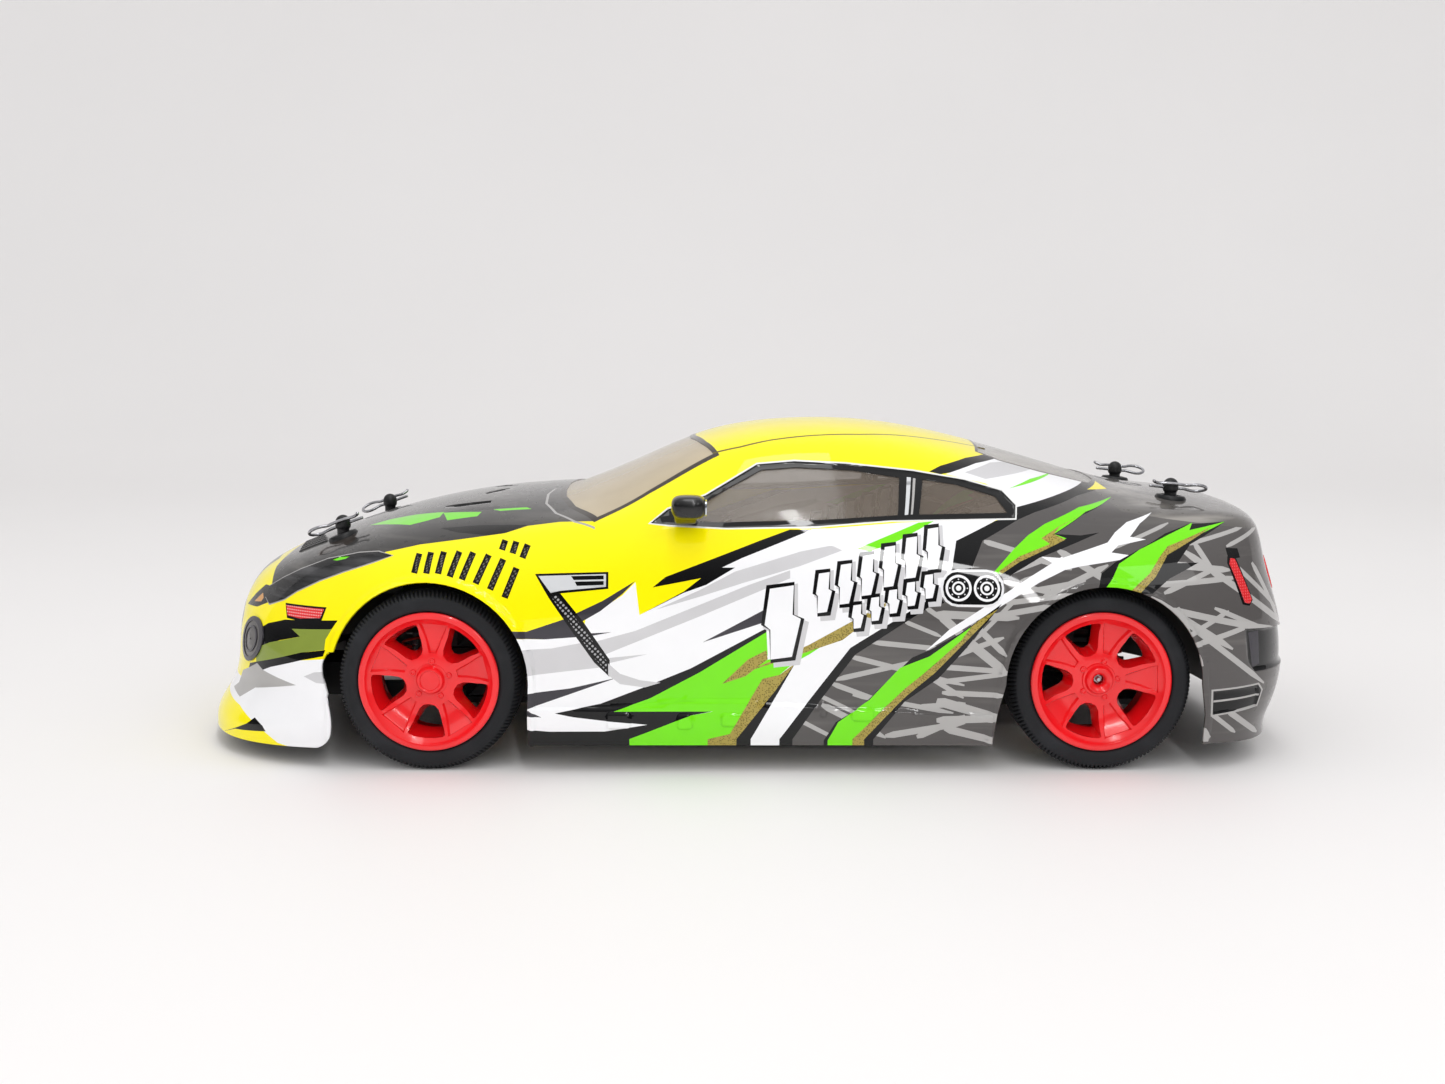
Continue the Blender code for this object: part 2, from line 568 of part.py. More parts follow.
def steering(tub):
    servo_top = 44.4
    body = box((-11, -104.0 + 5, 28.6), (11, -64.0, servo_top))
    ears = box((-11, -62.0 - 5, 34.0), (11, -58.0, 36.5))
    legs = [box((side * 13 - 2, -62.5, FLOOR_TOP + GAP), (side * 13 + 2, -58.5, 36.0)) for side in (1, -1)]
    boss = rod("Z", (0, STEER_PIVOT_Y), 3.0, servo_top - 1, servo_top + 2.6)
    bearer = box((-14.5, -62.5, 33.5), (14.5, -58.5, 36.5))
    servo = part("steering_servo", combined(body, [ears, bearer, *legs, boss]), "black_plastic", (0, -80, 36), tub)

    pin_y = STEER_PIVOT_Y + STEER_ARM
    plate_low, plate_high = servo_top + 0.5, servo_top + 3.2
    outline = []
    for centre, radius, first in ((STEER_PIVOT_Y, 7.0, 180), (pin_y, 3.2, 0)):
        for k in range(9):
            angle = math.radians(first + 180 * k / 8)
            outline.append((radius * math.cos(angle), centre + radius * math.sin(angle)))
    horn = combined(prism(outline, "Z", plate_low, plate_high),
                    [rod("Z", (0, pin_y), PIN_R, plate_high - 1, 55.6)],
                    [rod("Z", (0, STEER_PIVOT_Y), 3.0 + GAP, plate_low - 5, plate_high + 5)])
    saver = part("servo_saver", horn, "white_nylon", (0, STEER_PIVOT_Y, servo_top), servo)
    for side_name, side, z in (("left", 1, LEFT_ROD_Z), ("right", -1, RIGHT_ROD_Z)):
        inner = (0.0, pin_y, z)
        outer = (side * KINGPIN_X, FRONT_AXLE_Y + STEER_ARM, z)
        eyes = [rod("Z", p[:2], 3.3, z - 1.2, z + 1.2) for p in (inner, outer)]
        holes = [rod("Z", inner[:2], PIN_R + 0.3, z - 5, z + 5), rod("Z", outer[:2], PIN_R + 0.7, z - 5, z + 5)]
        bm = combined(bar(inner, outer, 1.3, 1.0), eyes, holes)
        part(f"{side_name}_tie_rod", bm, "grey_nylon", inner, saver)


# ---- suspension and wheels ------------------------------------------------------------------------------------------
def lower_arm(name, axle, side, bulkhead_obj):
    """An A arm: two eyes on the inner pin, one fork at the hub and a bridge for the damper's pin."""
    y0 = AXLES[axle]
    out = -1 if axle == "front" else 1
    z = LOWER_ARM_Z
    half = [(ARM_IN_X + 1, 9.0), (46, 8.2), (52, 7.5)]
    outline = [(x, y0 + w) for x, w in half] + [(x, y0 - w) for x, w in reversed(half)]
    plate = prism(outline, "Z", z - 2.2, z + 2.2)
    adds = [rod("Y", (ARM_IN_X, z), 3.4, y0 - 9.0, y0 + 9.0)]
    for a, b in ((3.2, 7.2), (-7.2, -3.2)):
        tine = [(50, z - 2.2), (ARM_OUT_X + 1.4, z - 2.8), (ARM_OUT_X + 3, z), (ARM_OUT_X + 1.4, z + 2.8), (50, z + 2.2)]
        adds.append(prism(tine, "Y", y0 + a, y0 + b))
    foot_x, foot_z = SHOCK_FOOT
    near, far = sorted((y0 + out * 6.0, y0 + out * 10.5))
    adds.append(prism([(foot_x - 4, z), (foot_x + 4, z), (foot_x + 2.6, foot_z + 2.2), (foot_x - 2.6, foot_z + 2.2)],
                      "Y", near, far))
    near, far = sorted((y0 + out * 9.0, y0 + out * (SHOCK_OUT + 3.5)))
    adds.append(rod("Y", (foot_x, foot_z), PIN_R, near, far))
    window = prism([(29, y0 - 4.6), (43, y0 - 4.2), (43, y0 + 4.2), (29, y0 + 4.6)], "Z", z - 6, z + 6)
    notch = box((50.5, y0 - 3.2, z - 6), (66, y0 + 3.2, z + 6))
    bore = rod("Y", (ARM_IN_X, z), PIN_R + GAP, y0 - 20, y0 + 20)
    outer_bore = rod("Y", (ARM_OUT_X, z), PIN_R + GAP, y0 - 20, y0 + 20)
    bm = mirrored(combined(plate, adds, [window, notch, bore, outer_bore]), side)
    return part(name, bm, "black_plastic", (side * ARM_IN_X, y0, z), bulkhead_obj)


def upper_arm(name, axle, side, bulkhead_obj):
    """The upper link: a narrow bar between the bulkhead's pin and the hub's pin."""
    y0, z = AXLES[axle], UPPER_ARM_Z
    link = box((ARM_IN_X + 1, y0 - 3.0, z - 1.6), (ARM_OUT_X - 1, y0 + 3.0, z + 1.6))
    eyes = [rod("Y", (ARM_IN_X, z), 3.2, y0 - 6.5, y0 + 6.5), rod("Y", (ARM_OUT_X, z), 2.8, y0 - 3.0, y0 + 3.0)]
    bores = [rod("Y", (x, z), PIN_R + GAP, y0 - 20, y0 + 20) for x in (ARM_IN_X, ARM_OUT_X)]
    bm = mirrored(combined(link, eyes, bores), side)
    return part(name, bm, "black_plastic", (side * ARM_IN_X, y0, z), bulkhead_obj)


def hub_pins(y0):
    """The two pins by which a hub hangs on its arms."""
    return [
        rod("Y", (ARM_OUT_X, LOWER_ARM_Z), PIN_R, y0 - 7.6, y0 + 7.6),
        rod("Y", (ARM_OUT_X, UPPER_ARM_Z), PIN_R, y0 - 6.6, y0 + 6.6),
    ]


def front_hub(name, side, arm):
    """The C shaped caster block: it hangs on the arms' pins and holds the kingpin above and below the knuckle."""
    y0 = FRONT_AXLE_Y
    web = box((55.2, y0 - 2.7, 27.2), (57.4, y0 + 2.7, 43.8))
    low_ear = box((54, y0 - 2.7, 19.5), (66, y0 + 2.7, 24.6))
    low_web = box((54, y0 - 2.7, 19.5), (57.4, y0 + 2.7, 28.5))
    cheeks = []
    for a in (-6.4, 3.5):
        cheeks.append(box((54.0, y0 + a, 43.3), (65.6, y0 + a + 2.9, 50.4)))
    high_ear = box((59.6, y0 - 6.0, 43.6), (66, y0 + 6.0, 47.2))
    bridge = box((54.6, y0 - 6.0, 42.8), (57.4, y0 + 6.0, 44.2))
    kingpins = [
        rod("Z", (KINGPIN_X, y0), PIN_R, 24.0, 29.5),
        rod("Z", (KINGPIN_X, y0), PIN_R, 39.5, 44.2),
    ]
    bm = combined(web, [low_ear, low_web, *cheeks, high_ear, bridge, *kingpins, *hub_pins(y0)])
    return part(name, mirrored(bm, side), "grey_nylon", (side * ARM_OUT_X, y0, LOWER_ARM_Z), arm)


def steering_knuckle(name, side, hub):
    """The knuckle: a bearing barrel on the kingpin with a steering arm and its ball pin."""
    y0 = FRONT_AXLE_Y
    barrel = rod("Z", (KINGPIN_X, y0), 4.0, 25.6, 42.6)
    bearing = rod("X", (y0, AXLE_Z), 7.4, 61.5, 70.5, 12)
    arm = prism([(59.4, y0), (64.6, y0), (64.2, y0 + STEER_ARM + 2.2), (59.8, y0 + STEER_ARM + 2.2)], "Z", 38.8, 42.4)
    pin = rod("Z", (KINGPIN_X, y0 + STEER_ARM), PIN_R, 41.4, 57.4)
    cuts = [
        rod("Z", (KINGPIN_X, y0), PIN_R + GAP, 20, 29.9),
        rod("Z", (KINGPIN_X, y0), PIN_R + GAP, 39.1, 50),
        rod("X", (y0, AXLE_Z), 3.4, 60.8, 80),
    ]
    bm = mirrored(combined(barrel, [bearing, arm, pin], cuts), side)
    return part(name, bm, "black_plastic", (side * KINGPIN_X, y0, AXLE_Z), hub)


def rear_hub(name, side, arm):
    """The rear upright: one block on both pins with the wheel bearing's barrel."""
    y0 = REAR_AXLE_Y
    web = box((55.0, y0 - 2.7, 19.5), (62.5, y0 + 2.7, 42.8))
    cheeks = [box((54.0, y0 + a, 39.5), (60.5, y0 + a + 2.9, 50.4)) for a in (-6.4, 3.5)]
    yoke = box((55.0, y0 - 6.4, 37.0), (62.5, y0 + 6.4, 43.2))
    bearing = rod("X", (y0, AXLE_Z), 7.4, 59.0, 70.5, 12)
    bore = rod("X", (y0, AXLE_Z), 3.4, 60.8, 80)
    bm = combined(web, [*cheeks, yoke, bearing, *hub_pins(y0)], [bore])
    return part(name, mirrored(bm, side), "grey_nylon", (side * ARM_OUT_X, y0, LOWER_ARM_Z), arm)


def rim(name, axle, side, carrier):
    """A five spoke rim: barrel, dished face with five openings, and the stub axle that turns in the hub."""
    y0 = AXLES[axle]
    barrel = [
        (RIM_SEAT_R, TYRE_IN - 0.6), (23.0, TYRE_IN - 0.6), (22.4, 84.0), (8.0, 86.0), (8.0, 89.0), (21.5, 87.6),
        (24.3, 92.6), (RIM_LIP_R, 94.2), (RIM_LIP_R, TYRE_OUT - 1.2), (RIM_SEAT_R, TYRE_OUT - 1.2),
    ]
    bm = ring_of(barrel, "X", (y0, AXLE_Z), WHEEL_SEGMENTS)
    cap = [(8.6, 79.0), (8.6, 90.2), (6.6, 92.2), (3.0, 92.4)] if axle == "front" else [(8.6, 79.0), (8.6, 91.0), (3.0, 91.2)]
    hub = turned(cap, "X", (y0, AXLE_Z), 12)
    axle_stub = rod("X", (y0, AXLE_Z), 3.0, 61.2, 80.0)
    first = 265.0 if axle == "front" else 326.0
    openings = []
    for k in range(5):
        centre = math.radians(first + 72 * k)
        outline = []
        for radius, half in ((9.6, 6), (9.6, -6), (13.0, -13.5), (19.2, -15), (20.2, 0), (19.2, 15), (13.0, 13.5)):
            angle = centre + math.radians(half)
            outline.append((y0 + radius * math.cos(angle), AXLE_Z + radius * math.sin(angle)))
        openings.append(prism(outline, "X", 82.0, 97.0))
    bm = mirrored(combined(bm, [hub, axle_stub], openings), side)
    return part(name, bm, "red_plastic", (side * 81.0, y0, AXLE_Z), carrier)


def tyre(name, axle, side, rim_obj):
    y0 = AXLES[axle]
    wall = RIM_LIP_R + GAP
    profile = [
        (TYRE_BORE_R, TYRE_IN + 0.8), (TYRE_BORE_R, TYRE_OUT - 1.8), (wall, TYRE_OUT - 1.6), (wall + 0.6, TYRE_OUT - 0.2),
        (33.6, TYRE_OUT), (TYRE_R, TYRE_OUT - 2.6), (TYRE_R, TYRE_IN + 2.6), (33.6, TYRE_IN), (wall - 0.8, TYRE_IN),
    ]
    bm = mirrored(ring_of(profile, "X", (y0, AXLE_Z), WHEEL_SEGMENTS), side)
    return part(name, bm, "tyre_rubber", (side * 81.0, y0, AXLE_Z), rim_obj)


def damper(prefix, axle, side, bulkhead_obj):
    """Damper cylinder on the tower's pin, a rod with its spring cup on the arm's pin, and the coil between them."""
    y = AXLES[axle] + (-SHOCK_OUT if axle == "front" else SHOCK_OUT)
    top = Vector((SHOCK_TOP[0], y, SHOCK_TOP[1]))
    foot = Vector((SHOCK_FOOT[0], y, SHOCK_FOOT[1]))
    length = (top - foot).length
    lean = math.atan2(foot.x - top.x, top.z - foot.z)
    stand = Matrix.Translation(top) @ Matrix.Rotation(-lean, 4, "Y")      # local: the pin at 0, the foot straight down

    cylinder = [(4.2, -27.0), (4.2, -10.6), (6.2, -10.5), (6.2, -6.4), (4.6, -6.3), (4.0, -3.5)]
    eye = ring_of([(PIN_R + GAP, -2.2), (PIN_R + GAP, 2.2), (4.0, 2.2), (4.0, -2.2)], "Y", (0, 0), 8)
    bore = rod("Z", (0, 0), 1.2 + GAP, -40.0, -9.0)
    bm = combined(turned(cylinder, "Z", (0, 0), 10), [eye], [bore, rod("Y", (0, 0), PIN_R + GAP, -9, 9)])
    body = part(f"{prefix}_damper_body", mirrored(moved(bm, stand), side), "damper_body", (side * top.x, y, top.z), bulkhead_obj)

    low_eye = ring_of([(PIN_R + 0.6, -2.2), (PIN_R + 0.6, 2.2), (3.9, 2.2), (3.9, -2.2)], "Y", (0, -length), 8)
    stem = [(3.0, -length + 3.0), (3.0, -length + 5.2), (6.2, -length + 5.3), (6.2, -length + 7.0), (1.2, -length + 7.1), (1.2, -16.0)]
    bm = combined(turned(stem, "Z", (0, 0), 8), [low_eye], [rod("Y", (0, -length), PIN_R + 0.6, -9, 9)])
    part(f"{prefix}_damper_rod", mirrored(moved(bm, stand), side), "steel_wire", (side * foot.x, y, foot.z), body)

    turns, coil_r, wire_r = 4, 5.25, 0.6
    low, high = -length + 7.1 + wire_r + 0.25, -10.6 - wire_r - 0.25
    steps = turns * 8
    coil = []
    for k in range(steps + 1):
        angle = 2 * math.pi * turns * k / steps
        coil.append((coil_r * math.cos(angle), coil_r * math.sin(angle), low + (high - low) * k / steps))
    bm = mirrored(moved(wire(coil, wire_r, 4), stand), side)
    part(f"{prefix}_damper_spring", bm, "spring_steel", (side * top.x, y, top.z), body)


def corner(axle, side_name, side, bulkhead_obj):
    """Everything that carries one wheel."""
    prefix = f"{axle}_{side_name}"
    arm = lower_arm(f"{prefix}_lower_arm", axle, side, bulkhead_obj)
    upper_arm(f"{prefix}_upper_arm", axle, side, bulkhead_obj)
    if axle == "front":
        hub = front_hub(f"{prefix}_caster_block", side, arm)
        carrier = steering_knuckle(f"{prefix}_knuckle", side, hub)
    else:
        carrier = rear_hub(f"{prefix}_hub_carrier", side, arm)
    rim_obj = rim(f"{prefix}_rim", axle, side, carrier)
    tyre(f"{prefix}_tyre", axle, side, rim_obj)
    damper(prefix, axle, side, bulkhead_obj)


def build():
    for obj in list(bpy.data.objects):
        bpy.data.objects.remove(obj)
    tub = chassis_tub()
    front_bumper(tub)
    drive_train(tub)
    electrics(tub)
    steering(tub)
    for axle in AXLES:
        bulkhead_obj = bulkhead(f"{axle}_bulkhead", axle, tub)
        for side_name, side in SIDES.items():
            corner(axle, side_name, side, bulkhead_obj)
    shell = body_shell()
    for side_name, side in SIDES.items():
        mirror(f"{side_name}_mirror", side, shell)
        for post in POSTS:
            body_post(f"{post}_{side_name}_body_post", post, side, shell)
            body_clip(f"{post}_{side_name}_body_clip", post, side, shell)


build()
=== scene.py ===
"""The looks of a 1:10 drift car: printed shell, glass, trim, wheels, posts, clips, springs and finishes.

Shapes are drawn in millimetres in the part's drawing frame: +X is the car's left side, -Y its nose, +Z up.
"""

import math

import bmesh
import bpy
import numpy as np
from mathutils import Matrix, Vector
from mathutils.bvhtree import BVHTree


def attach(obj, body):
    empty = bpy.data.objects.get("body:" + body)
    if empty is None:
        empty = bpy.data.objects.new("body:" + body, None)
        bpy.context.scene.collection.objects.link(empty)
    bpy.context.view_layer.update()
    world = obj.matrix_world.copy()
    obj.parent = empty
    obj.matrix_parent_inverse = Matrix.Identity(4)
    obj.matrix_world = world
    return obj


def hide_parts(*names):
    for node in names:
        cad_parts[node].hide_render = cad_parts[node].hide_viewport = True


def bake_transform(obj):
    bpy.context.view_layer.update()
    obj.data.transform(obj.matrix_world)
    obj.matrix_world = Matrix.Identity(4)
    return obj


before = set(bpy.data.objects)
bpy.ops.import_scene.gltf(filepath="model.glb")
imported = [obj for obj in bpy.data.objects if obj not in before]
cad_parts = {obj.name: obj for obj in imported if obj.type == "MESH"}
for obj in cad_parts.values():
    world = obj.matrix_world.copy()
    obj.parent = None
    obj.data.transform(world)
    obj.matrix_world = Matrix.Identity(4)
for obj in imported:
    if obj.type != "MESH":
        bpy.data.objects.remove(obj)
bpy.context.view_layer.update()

MM = 0.001
DRAWING_ZERO = Vector((0, 2.0, 0))      # where the drawing's zero stands from the middle of the car's box
SIDES = {"left": 1, "right": -1}
AXLES = {"front": -122.0, "rear": 136.0}
AXLE_Z = 35.0
ARCH_R = {"front": 38.5, "rear": 37.5}
ARCH_FOOT = {"front": 38.0, "rear": 39.5}
POST_X = 45.0
POST_HOLE_R = 3.8
POSTS = {
    "front": {"y": -165.0, "skin_z": 85.2, "top_z": 94.2, "pitch": math.radians(20), "pull": -1},
    "rear": {"y": 174.0, "skin_z": 101.0, "top_z": 109.4, "pitch": math.radians(-6), "pull": 1},
}
CLIP_WIRE_R = 0.65
CLIP_DROP = 4.0
MIRROR_Y = -22.0
SHELL_WALL = 1.1
BELT_Z = 76.0                   # below this height the shell's inner side is sprayed dark

# ---- the body's cage: what a subdivision surface rounds into the body ----
# Each ring goes round the half car at one height: nose centre, four points to the nose corner, twelve
# stations along the side, the tail corner and back to the tail centre, as (x, y, z).
RINGS = {
    "shoulder": [
        (0, -200, 75), (20, -198.5, 75), (40, -193, 75.5), (57, -183, 77), (70, -167, 79.5),
        (79, -148, 83), (84, -122, 87), (85, -92, 91), (85.5, -62, 94.5), (86, -38, 95.5), (86, -14, 96),
        (85.5, 20, 97), (84.5, 58, 98), (83, 95, 98.5), (82.5, 125, 99), (82, 155, 98.5), (80, 182, 97.5),
        (73, 199, 96.5), (59, 206.5, 97), (42, 210.5, 97.5), (21, 212, 98), (0, 212.5, 98),
    ],
    "upper": [
        (0, -211, 67), (21, -209, 67), (42, -203, 67.5), (61, -189, 68), (76, -171, 69.5),
        (88, -148, 73), (96, -122, 77), (94.5, -92, 78), (92.5, -62, 79), (92, -38, 79.5), (92, -14, 80),
        (92, 20, 80.5), (92.5, 58, 81), (95, 95, 81), (98, 125, 80.5), (97.5, 155, 80), (94, 182, 79),
        (81.5, 198.5, 79), (63, 206.5, 79), (43, 210, 79.5), (21, 211.5, 80), (0, 212, 80),
    ],
    "middle": [
        (0, -218, 50), (22, -216.5, 50), (44, -210.5, 50), (66, -199, 50.5), (82, -179, 51),
        (94, -152, 52), (101, -122, 54), (97, -92, 53), (94.5, -62, 52), (94, -38, 52), (94, -14, 52),
        (94, 20, 52), (95, 58, 52.5), (99, 95, 54), (102, 125, 55), (102, 155, 54.5), (97.5, 184, 53),
        (85, 205.5, 53), (66, 217, 52.5), (45, 220.5, 52), (22, 222.5, 52), (0, 223, 52),
    ],
    "lower": [
        (0, -216, 27), (23, -214.5, 27), (46, -209.5, 27), (67, -198, 27), (83, -180, 27),
        (94, -156, 27.5), (98.5, -122, 28), (97, -92, 27), (95.5, -62, 26.5), (95, -38, 26), (95, -14, 26),
        (95, 20, 26), (95.5, 58, 26), (98, 95, 27), (100, 125, 28), (100, 155, 28), (96, 184, 27),
        (84, 204.5, 27), (66, 216, 27), (45, 220, 27), (22, 222, 27), (0, 222.5, 27),
    ],
    "lip": [
        (0, -226.5, 15), (24, -225.5, 15), (48, -220, 15), (70, -207, 15), (86, -185, 16),
        (94, -158, 17), (97, -122, 18), (97, -92, 18), (96.5, -62, 18), (96.5, -38, 18), (96.5, -14, 18),
        (96.5, 20, 18), (96.5, 58, 18), (97, 95, 18), (98, 125, 19), (98, 155, 19), (95, 184, 18),
        (82, 200, 16), (65, 210, 15.5), (45, 213, 15), (22, 214.7, 15), (0, 215, 15),
    ],
    "bottom": [
        (0, -226.5, 7), (24, -225.5, 7), (48, -220, 7), (70, -207, 7), (85, -184, 7.5),
        (93, -158, 8.5), (96, -122, 10), (95.5, -92, 11), (95.5, -62, 11), (95.5, -38, 11), (95.5, -14, 11),
        (95.5, 20, 11), (95.5, 58, 11), (96, 95, 11), (97, 125, 11.5), (97, 155, 11.5), (94, 184, 11),
        (82, 200, 9.5), (65, 210.3, 9), (45, 213.3, 9), (22, 215, 9), (0, 215.5, 9),
    ],
}
# Bonnet, windscreen, roof, rear window and boot: for each station between nose and tail, from the roof
# rail to the middle plane.
TOP_ROWS = [
    [(66, -153, 86.5), (48, -158, 88.5), (25, -162, 89.5), (0, -163, 90)],
    [(68, -124, 93), (48, -127, 96.5), (25, -129, 97.5), (0, -130, 98)],
    [(68, -93, 96.5), (48, -96, 100), (25, -98, 102), (0, -99, 102.5)],
    [(71, -64, 97.5), (50, -68, 101), (26, -72, 103), (0, -74, 103.5)],
    [(69, -42, 103.5), (52, -44, 110), (27, -46, 113), (0, -47, 114)],
    [(66.5, -15, 112.5), (52, -15, 123), (27, -16, 127.5), (0, -16.5, 128.5)],
    [(65.5, 20, 116.5), (51, 20, 127.5), (27, 20, 131.8), (0, 20, 133)],
    [(65, 58, 115.5), (50, 58, 126.5), (26, 58, 130.8), (0, 58, 132)],
    [(66, 93, 109.5), (51, 93, 118.5), (26, 93, 123), (0, 93, 124.5)],
    [(68, 123, 103.5), (52, 124, 110), (27, 125, 114), (0, 126, 115)],
    [(67, 154, 100), (50, 156, 102.5), (26, 158, 104), (0, 159, 104.5)],
    [(64, 182, 99), (46, 185, 100), (24, 187, 100.8), (0, 188, 101)],
]
ACROSS = 4                      # cage steps from the middle plane to a corner
COWL_ROW = 4
COWL_CREASE = 0.75
SURFACE_LEVEL = 3


# ---- materials ----
def rgb(red, green, blue):
    """Linear colour from the usual 0 to 255 numbers."""
    linear = []
    for value in (red, green, blue):
        c = value / 255
        linear.append(c / 12.92 if c <= 0.04045 else ((c + 0.055) / 1.055) ** 2.4)
    return (*linear, 1.0)


class Look:
    """A material being made: a Principled shader, and short ways to add the nodes that feed it."""

    def __init__(self, name, **values):
        self.material = bpy.data.materials.new(name)
        self.material.use_nodes = True
        self.tree = self.material.node_tree
        self.shader = self.tree.nodes["Principled BSDF"]
        self.place = self.tree.nodes.new("ShaderNodeTexCoord").outputs["Object"]
        self.put(self.shader, **values)

    def feed(self, socket, value):
        """Links another node's output to the socket, or sets a plain value."""
        if isinstance(value, bpy.types.NodeSocket):
            self.tree.links.new(value, socket)
        else:
            socket.default_value = value

    def put(self, node, **values):
        for key, value in values.items():
            self.feed(node.inputs[key.replace("_", " ")], value)
        return node

    def node(self, kind, **values):
        return self.put(self.tree.nodes.new("ShaderNode" + kind), **values)

    def stretched(self, x, y, z):
        """The object's own coordinates, scaled along each axis."""
        scaled = self.node("Mapping", Vector=self.place)
        scaled.inputs["Scale"].default_value = (x, y, z)
        return scaled.outputs["Vector"]

    def noise(self, scale, detail=2.0, place=None):
        made = self.node("TexNoise", Vector=place or self.place, Scale=scale, Detail=detail)
        return made.outputs["Fac"]

    def cells(self, scale, place=None):
        made = self.node("TexVoronoi", Vector=place or self.place, Scale=scale)
        return made.outputs["Distance"]

    def bands(self, scale, direction="X", distortion=0.0, place=None):
        made = self.node("TexWave", Vector=place or self.place, Scale=scale, Distortion=distortion)
        made.bands_direction = direction
        return made.outputs["Fac"]

    def maths(self, operation, a, b=0.5):
        made = self.tree.nodes.new("ShaderNodeMath")
        made.operation = operation
        self.feed(made.inputs[0], a)
        self.feed(made.inputs[1], b)
        return made.outputs["Value"]

    def blend(self, share, a, b):
        """Colour a where share is 0 and b where it is 1."""
        made = self.tree.nodes.new("ShaderNodeMix")
        made.data_type = "RGBA"
        share_in, colour_a, colour_b, colour_out = 0, 6, 7, 2
        self.feed(made.inputs[share_in], share)
        self.feed(made.inputs[colour_a], a)
        self.feed(made.inputs[colour_b], b)
        return made.outputs[colour_out]

    def between(self, share, low, high):
        made = self.node("MapRange", Value=share)
        made.inputs["To Min"].default_value = low
        made.inputs["To Max"].default_value = high
        return made.outputs["Result"]

    def sharpened(self, share, low, high):
        """0 below low, 1 above high, and a ramp between."""
        made = self.node("MapRange", Value=share)
        made.inputs["From Min"].default_value = low
        made.inputs["From Max"].default_value = high
        return made.outputs["Result"]

    def bump(self, height, strength=0.2, distance=0.0004):
        made = self.node("Bump", Height=height, Strength=strength, Distance=distance)
        self.tree.links.new(made.outputs["Normal"], self.shader.inputs["Normal"])

    def colour(self, value):
        self.put(self.shader, Base_Color=value)

    def roughness(self, value):
        self.put(self.shader, Roughness=value)


def scaled_colour(colour, factor):
    return (*(min(1.0, c * factor) for c in colour[:3]), 1.0)


def glossy_film(name, coat_roughness):
    """The clear side of the shell's plastic, ready for its ink."""
    return Look(name, Coat_Weight=0.75, Coat_Roughness=coat_roughness, Specular_IOR_Level=0.03)


def orange_peel(look):
    look.bump(look.noise(420.0, 1.0), 0.06, 0.0003)


def printed_film(name, colour, spread=0.05, roughness=0.3):
    """Ink behind clear glossy plastic: faint clouding in the ink and orange peel in the gloss."""
    look = glossy_film(name, 0.02)
    cloud = look.noise(70.0, 3.0)
    look.colour(look.blend(cloud, scaled_colour(colour, 1 - spread), scaled_colour(colour, 1 + spread)))
    look.roughness(look.between(look.noise(260.0), roughness - 0.06, roughness + 0.1))
    orange_peel(look)
    return look.material


def halftone_film(name, colour, dots, pitch=1500.0, size=0.32):
    """Ink printed in dots of a second colour."""
    look = glossy_film(name, 0.03)
    speck = look.sharpened(look.cells(pitch), size, size + 0.12)
    clouded = look.blend(look.noise(90.0), dots, scaled_colour(dots, 0.75))
    look.colour(look.blend(speck, clouded, colour))
    look.roughness(look.between(look.noise(300.0), 0.24, 0.4))
    orange_peel(look)
    return look.material


def brushed_film(name, colour, streak):
    """Ink with long pale smears that run along the body."""
    look = glossy_film(name, 0.03)
    smear = look.noise(1.0, 4.0, look.stretched(30.0, 14.0, 190.0))
    look.colour(look.blend(look.sharpened(smear, 0.52, 0.68), colour, streak))
    look.roughness(look.between(look.noise(260.0), 0.22, 0.38))
    orange_peel(look)
    return look.material


def woven_film(name, dark, light, pitch=640.0):
    """A carbon cloth pattern: two sets of threads that cross over and under."""
    look = Look(name, Coat_Weight=0.45, Coat_Roughness=0.08, Specular_IOR_Level=0.15)
    along = look.bands(pitch, "DIAGONAL")
    across = look.bands(pitch, "DIAGONAL", place=look.stretched(1, 1, -1))
    weave = look.maths("MULTIPLY", along, across)
    look.colour(look.blend(look.sharpened(weave, 0.25, 0.5), dark, light))
    look.roughness(look.between(look.noise(200.0), 0.25, 0.4))
    look.bump(weave, 0.3, 0.0003)
    return look.material


def moulded_plastic(name, colour, roughness=0.42, grain=1400.0, depth=0.12, coat=0.0):
    """Moulded plastic: fine grain, slight clouding and duller patches where it has been handled."""
    look = Look(name, Coat_Weight=coat, Coat_Roughness=0.08)
    look.colour(look.blend(look.noise(45.0, 4.0), scaled_colour(colour, 0.82), scaled_colour(colour, 1.12)))
    look.roughness(look.between(look.noise(38.0, 5.0), roughness - 0.08, roughness + 0.12))
    look.bump(look.noise(grain, 2.0), depth, 0.0002)
    return look.material


def rubber(name, colour):
    look = Look(name, Specular_IOR_Level=0.3)
    dusty = look.sharpened(look.noise(60.0, 5.0), 0.5, 0.8)
    look.colour(look.blend(dusty, colour, scaled_colour(colour, 1.9)))
    look.roughness(look.between(look.noise(110.0, 3.0), 0.6, 0.82))
    look.bump(look.noise(1800.0, 2.0), 0.22, 0.0002)
    return look.material


def bright_metal(name, colour, roughness=0.25, stretch=(40.0, 40.0, 900.0)):
    """Drawn or turned metal with fine streaks."""
    look = Look(name, Metallic=1.0)
    streaks = look.noise(1.0, 3.0, look.stretched(*stretch))
    look.colour(look.blend(streaks, scaled_colour(colour, 0.8), scaled_colour(colour, 1.15)))
    look.roughness(look.between(streaks, roughness - 0.08, roughness + 0.14))
    look.bump(streaks, 0.08, 0.0002)
    return look.material


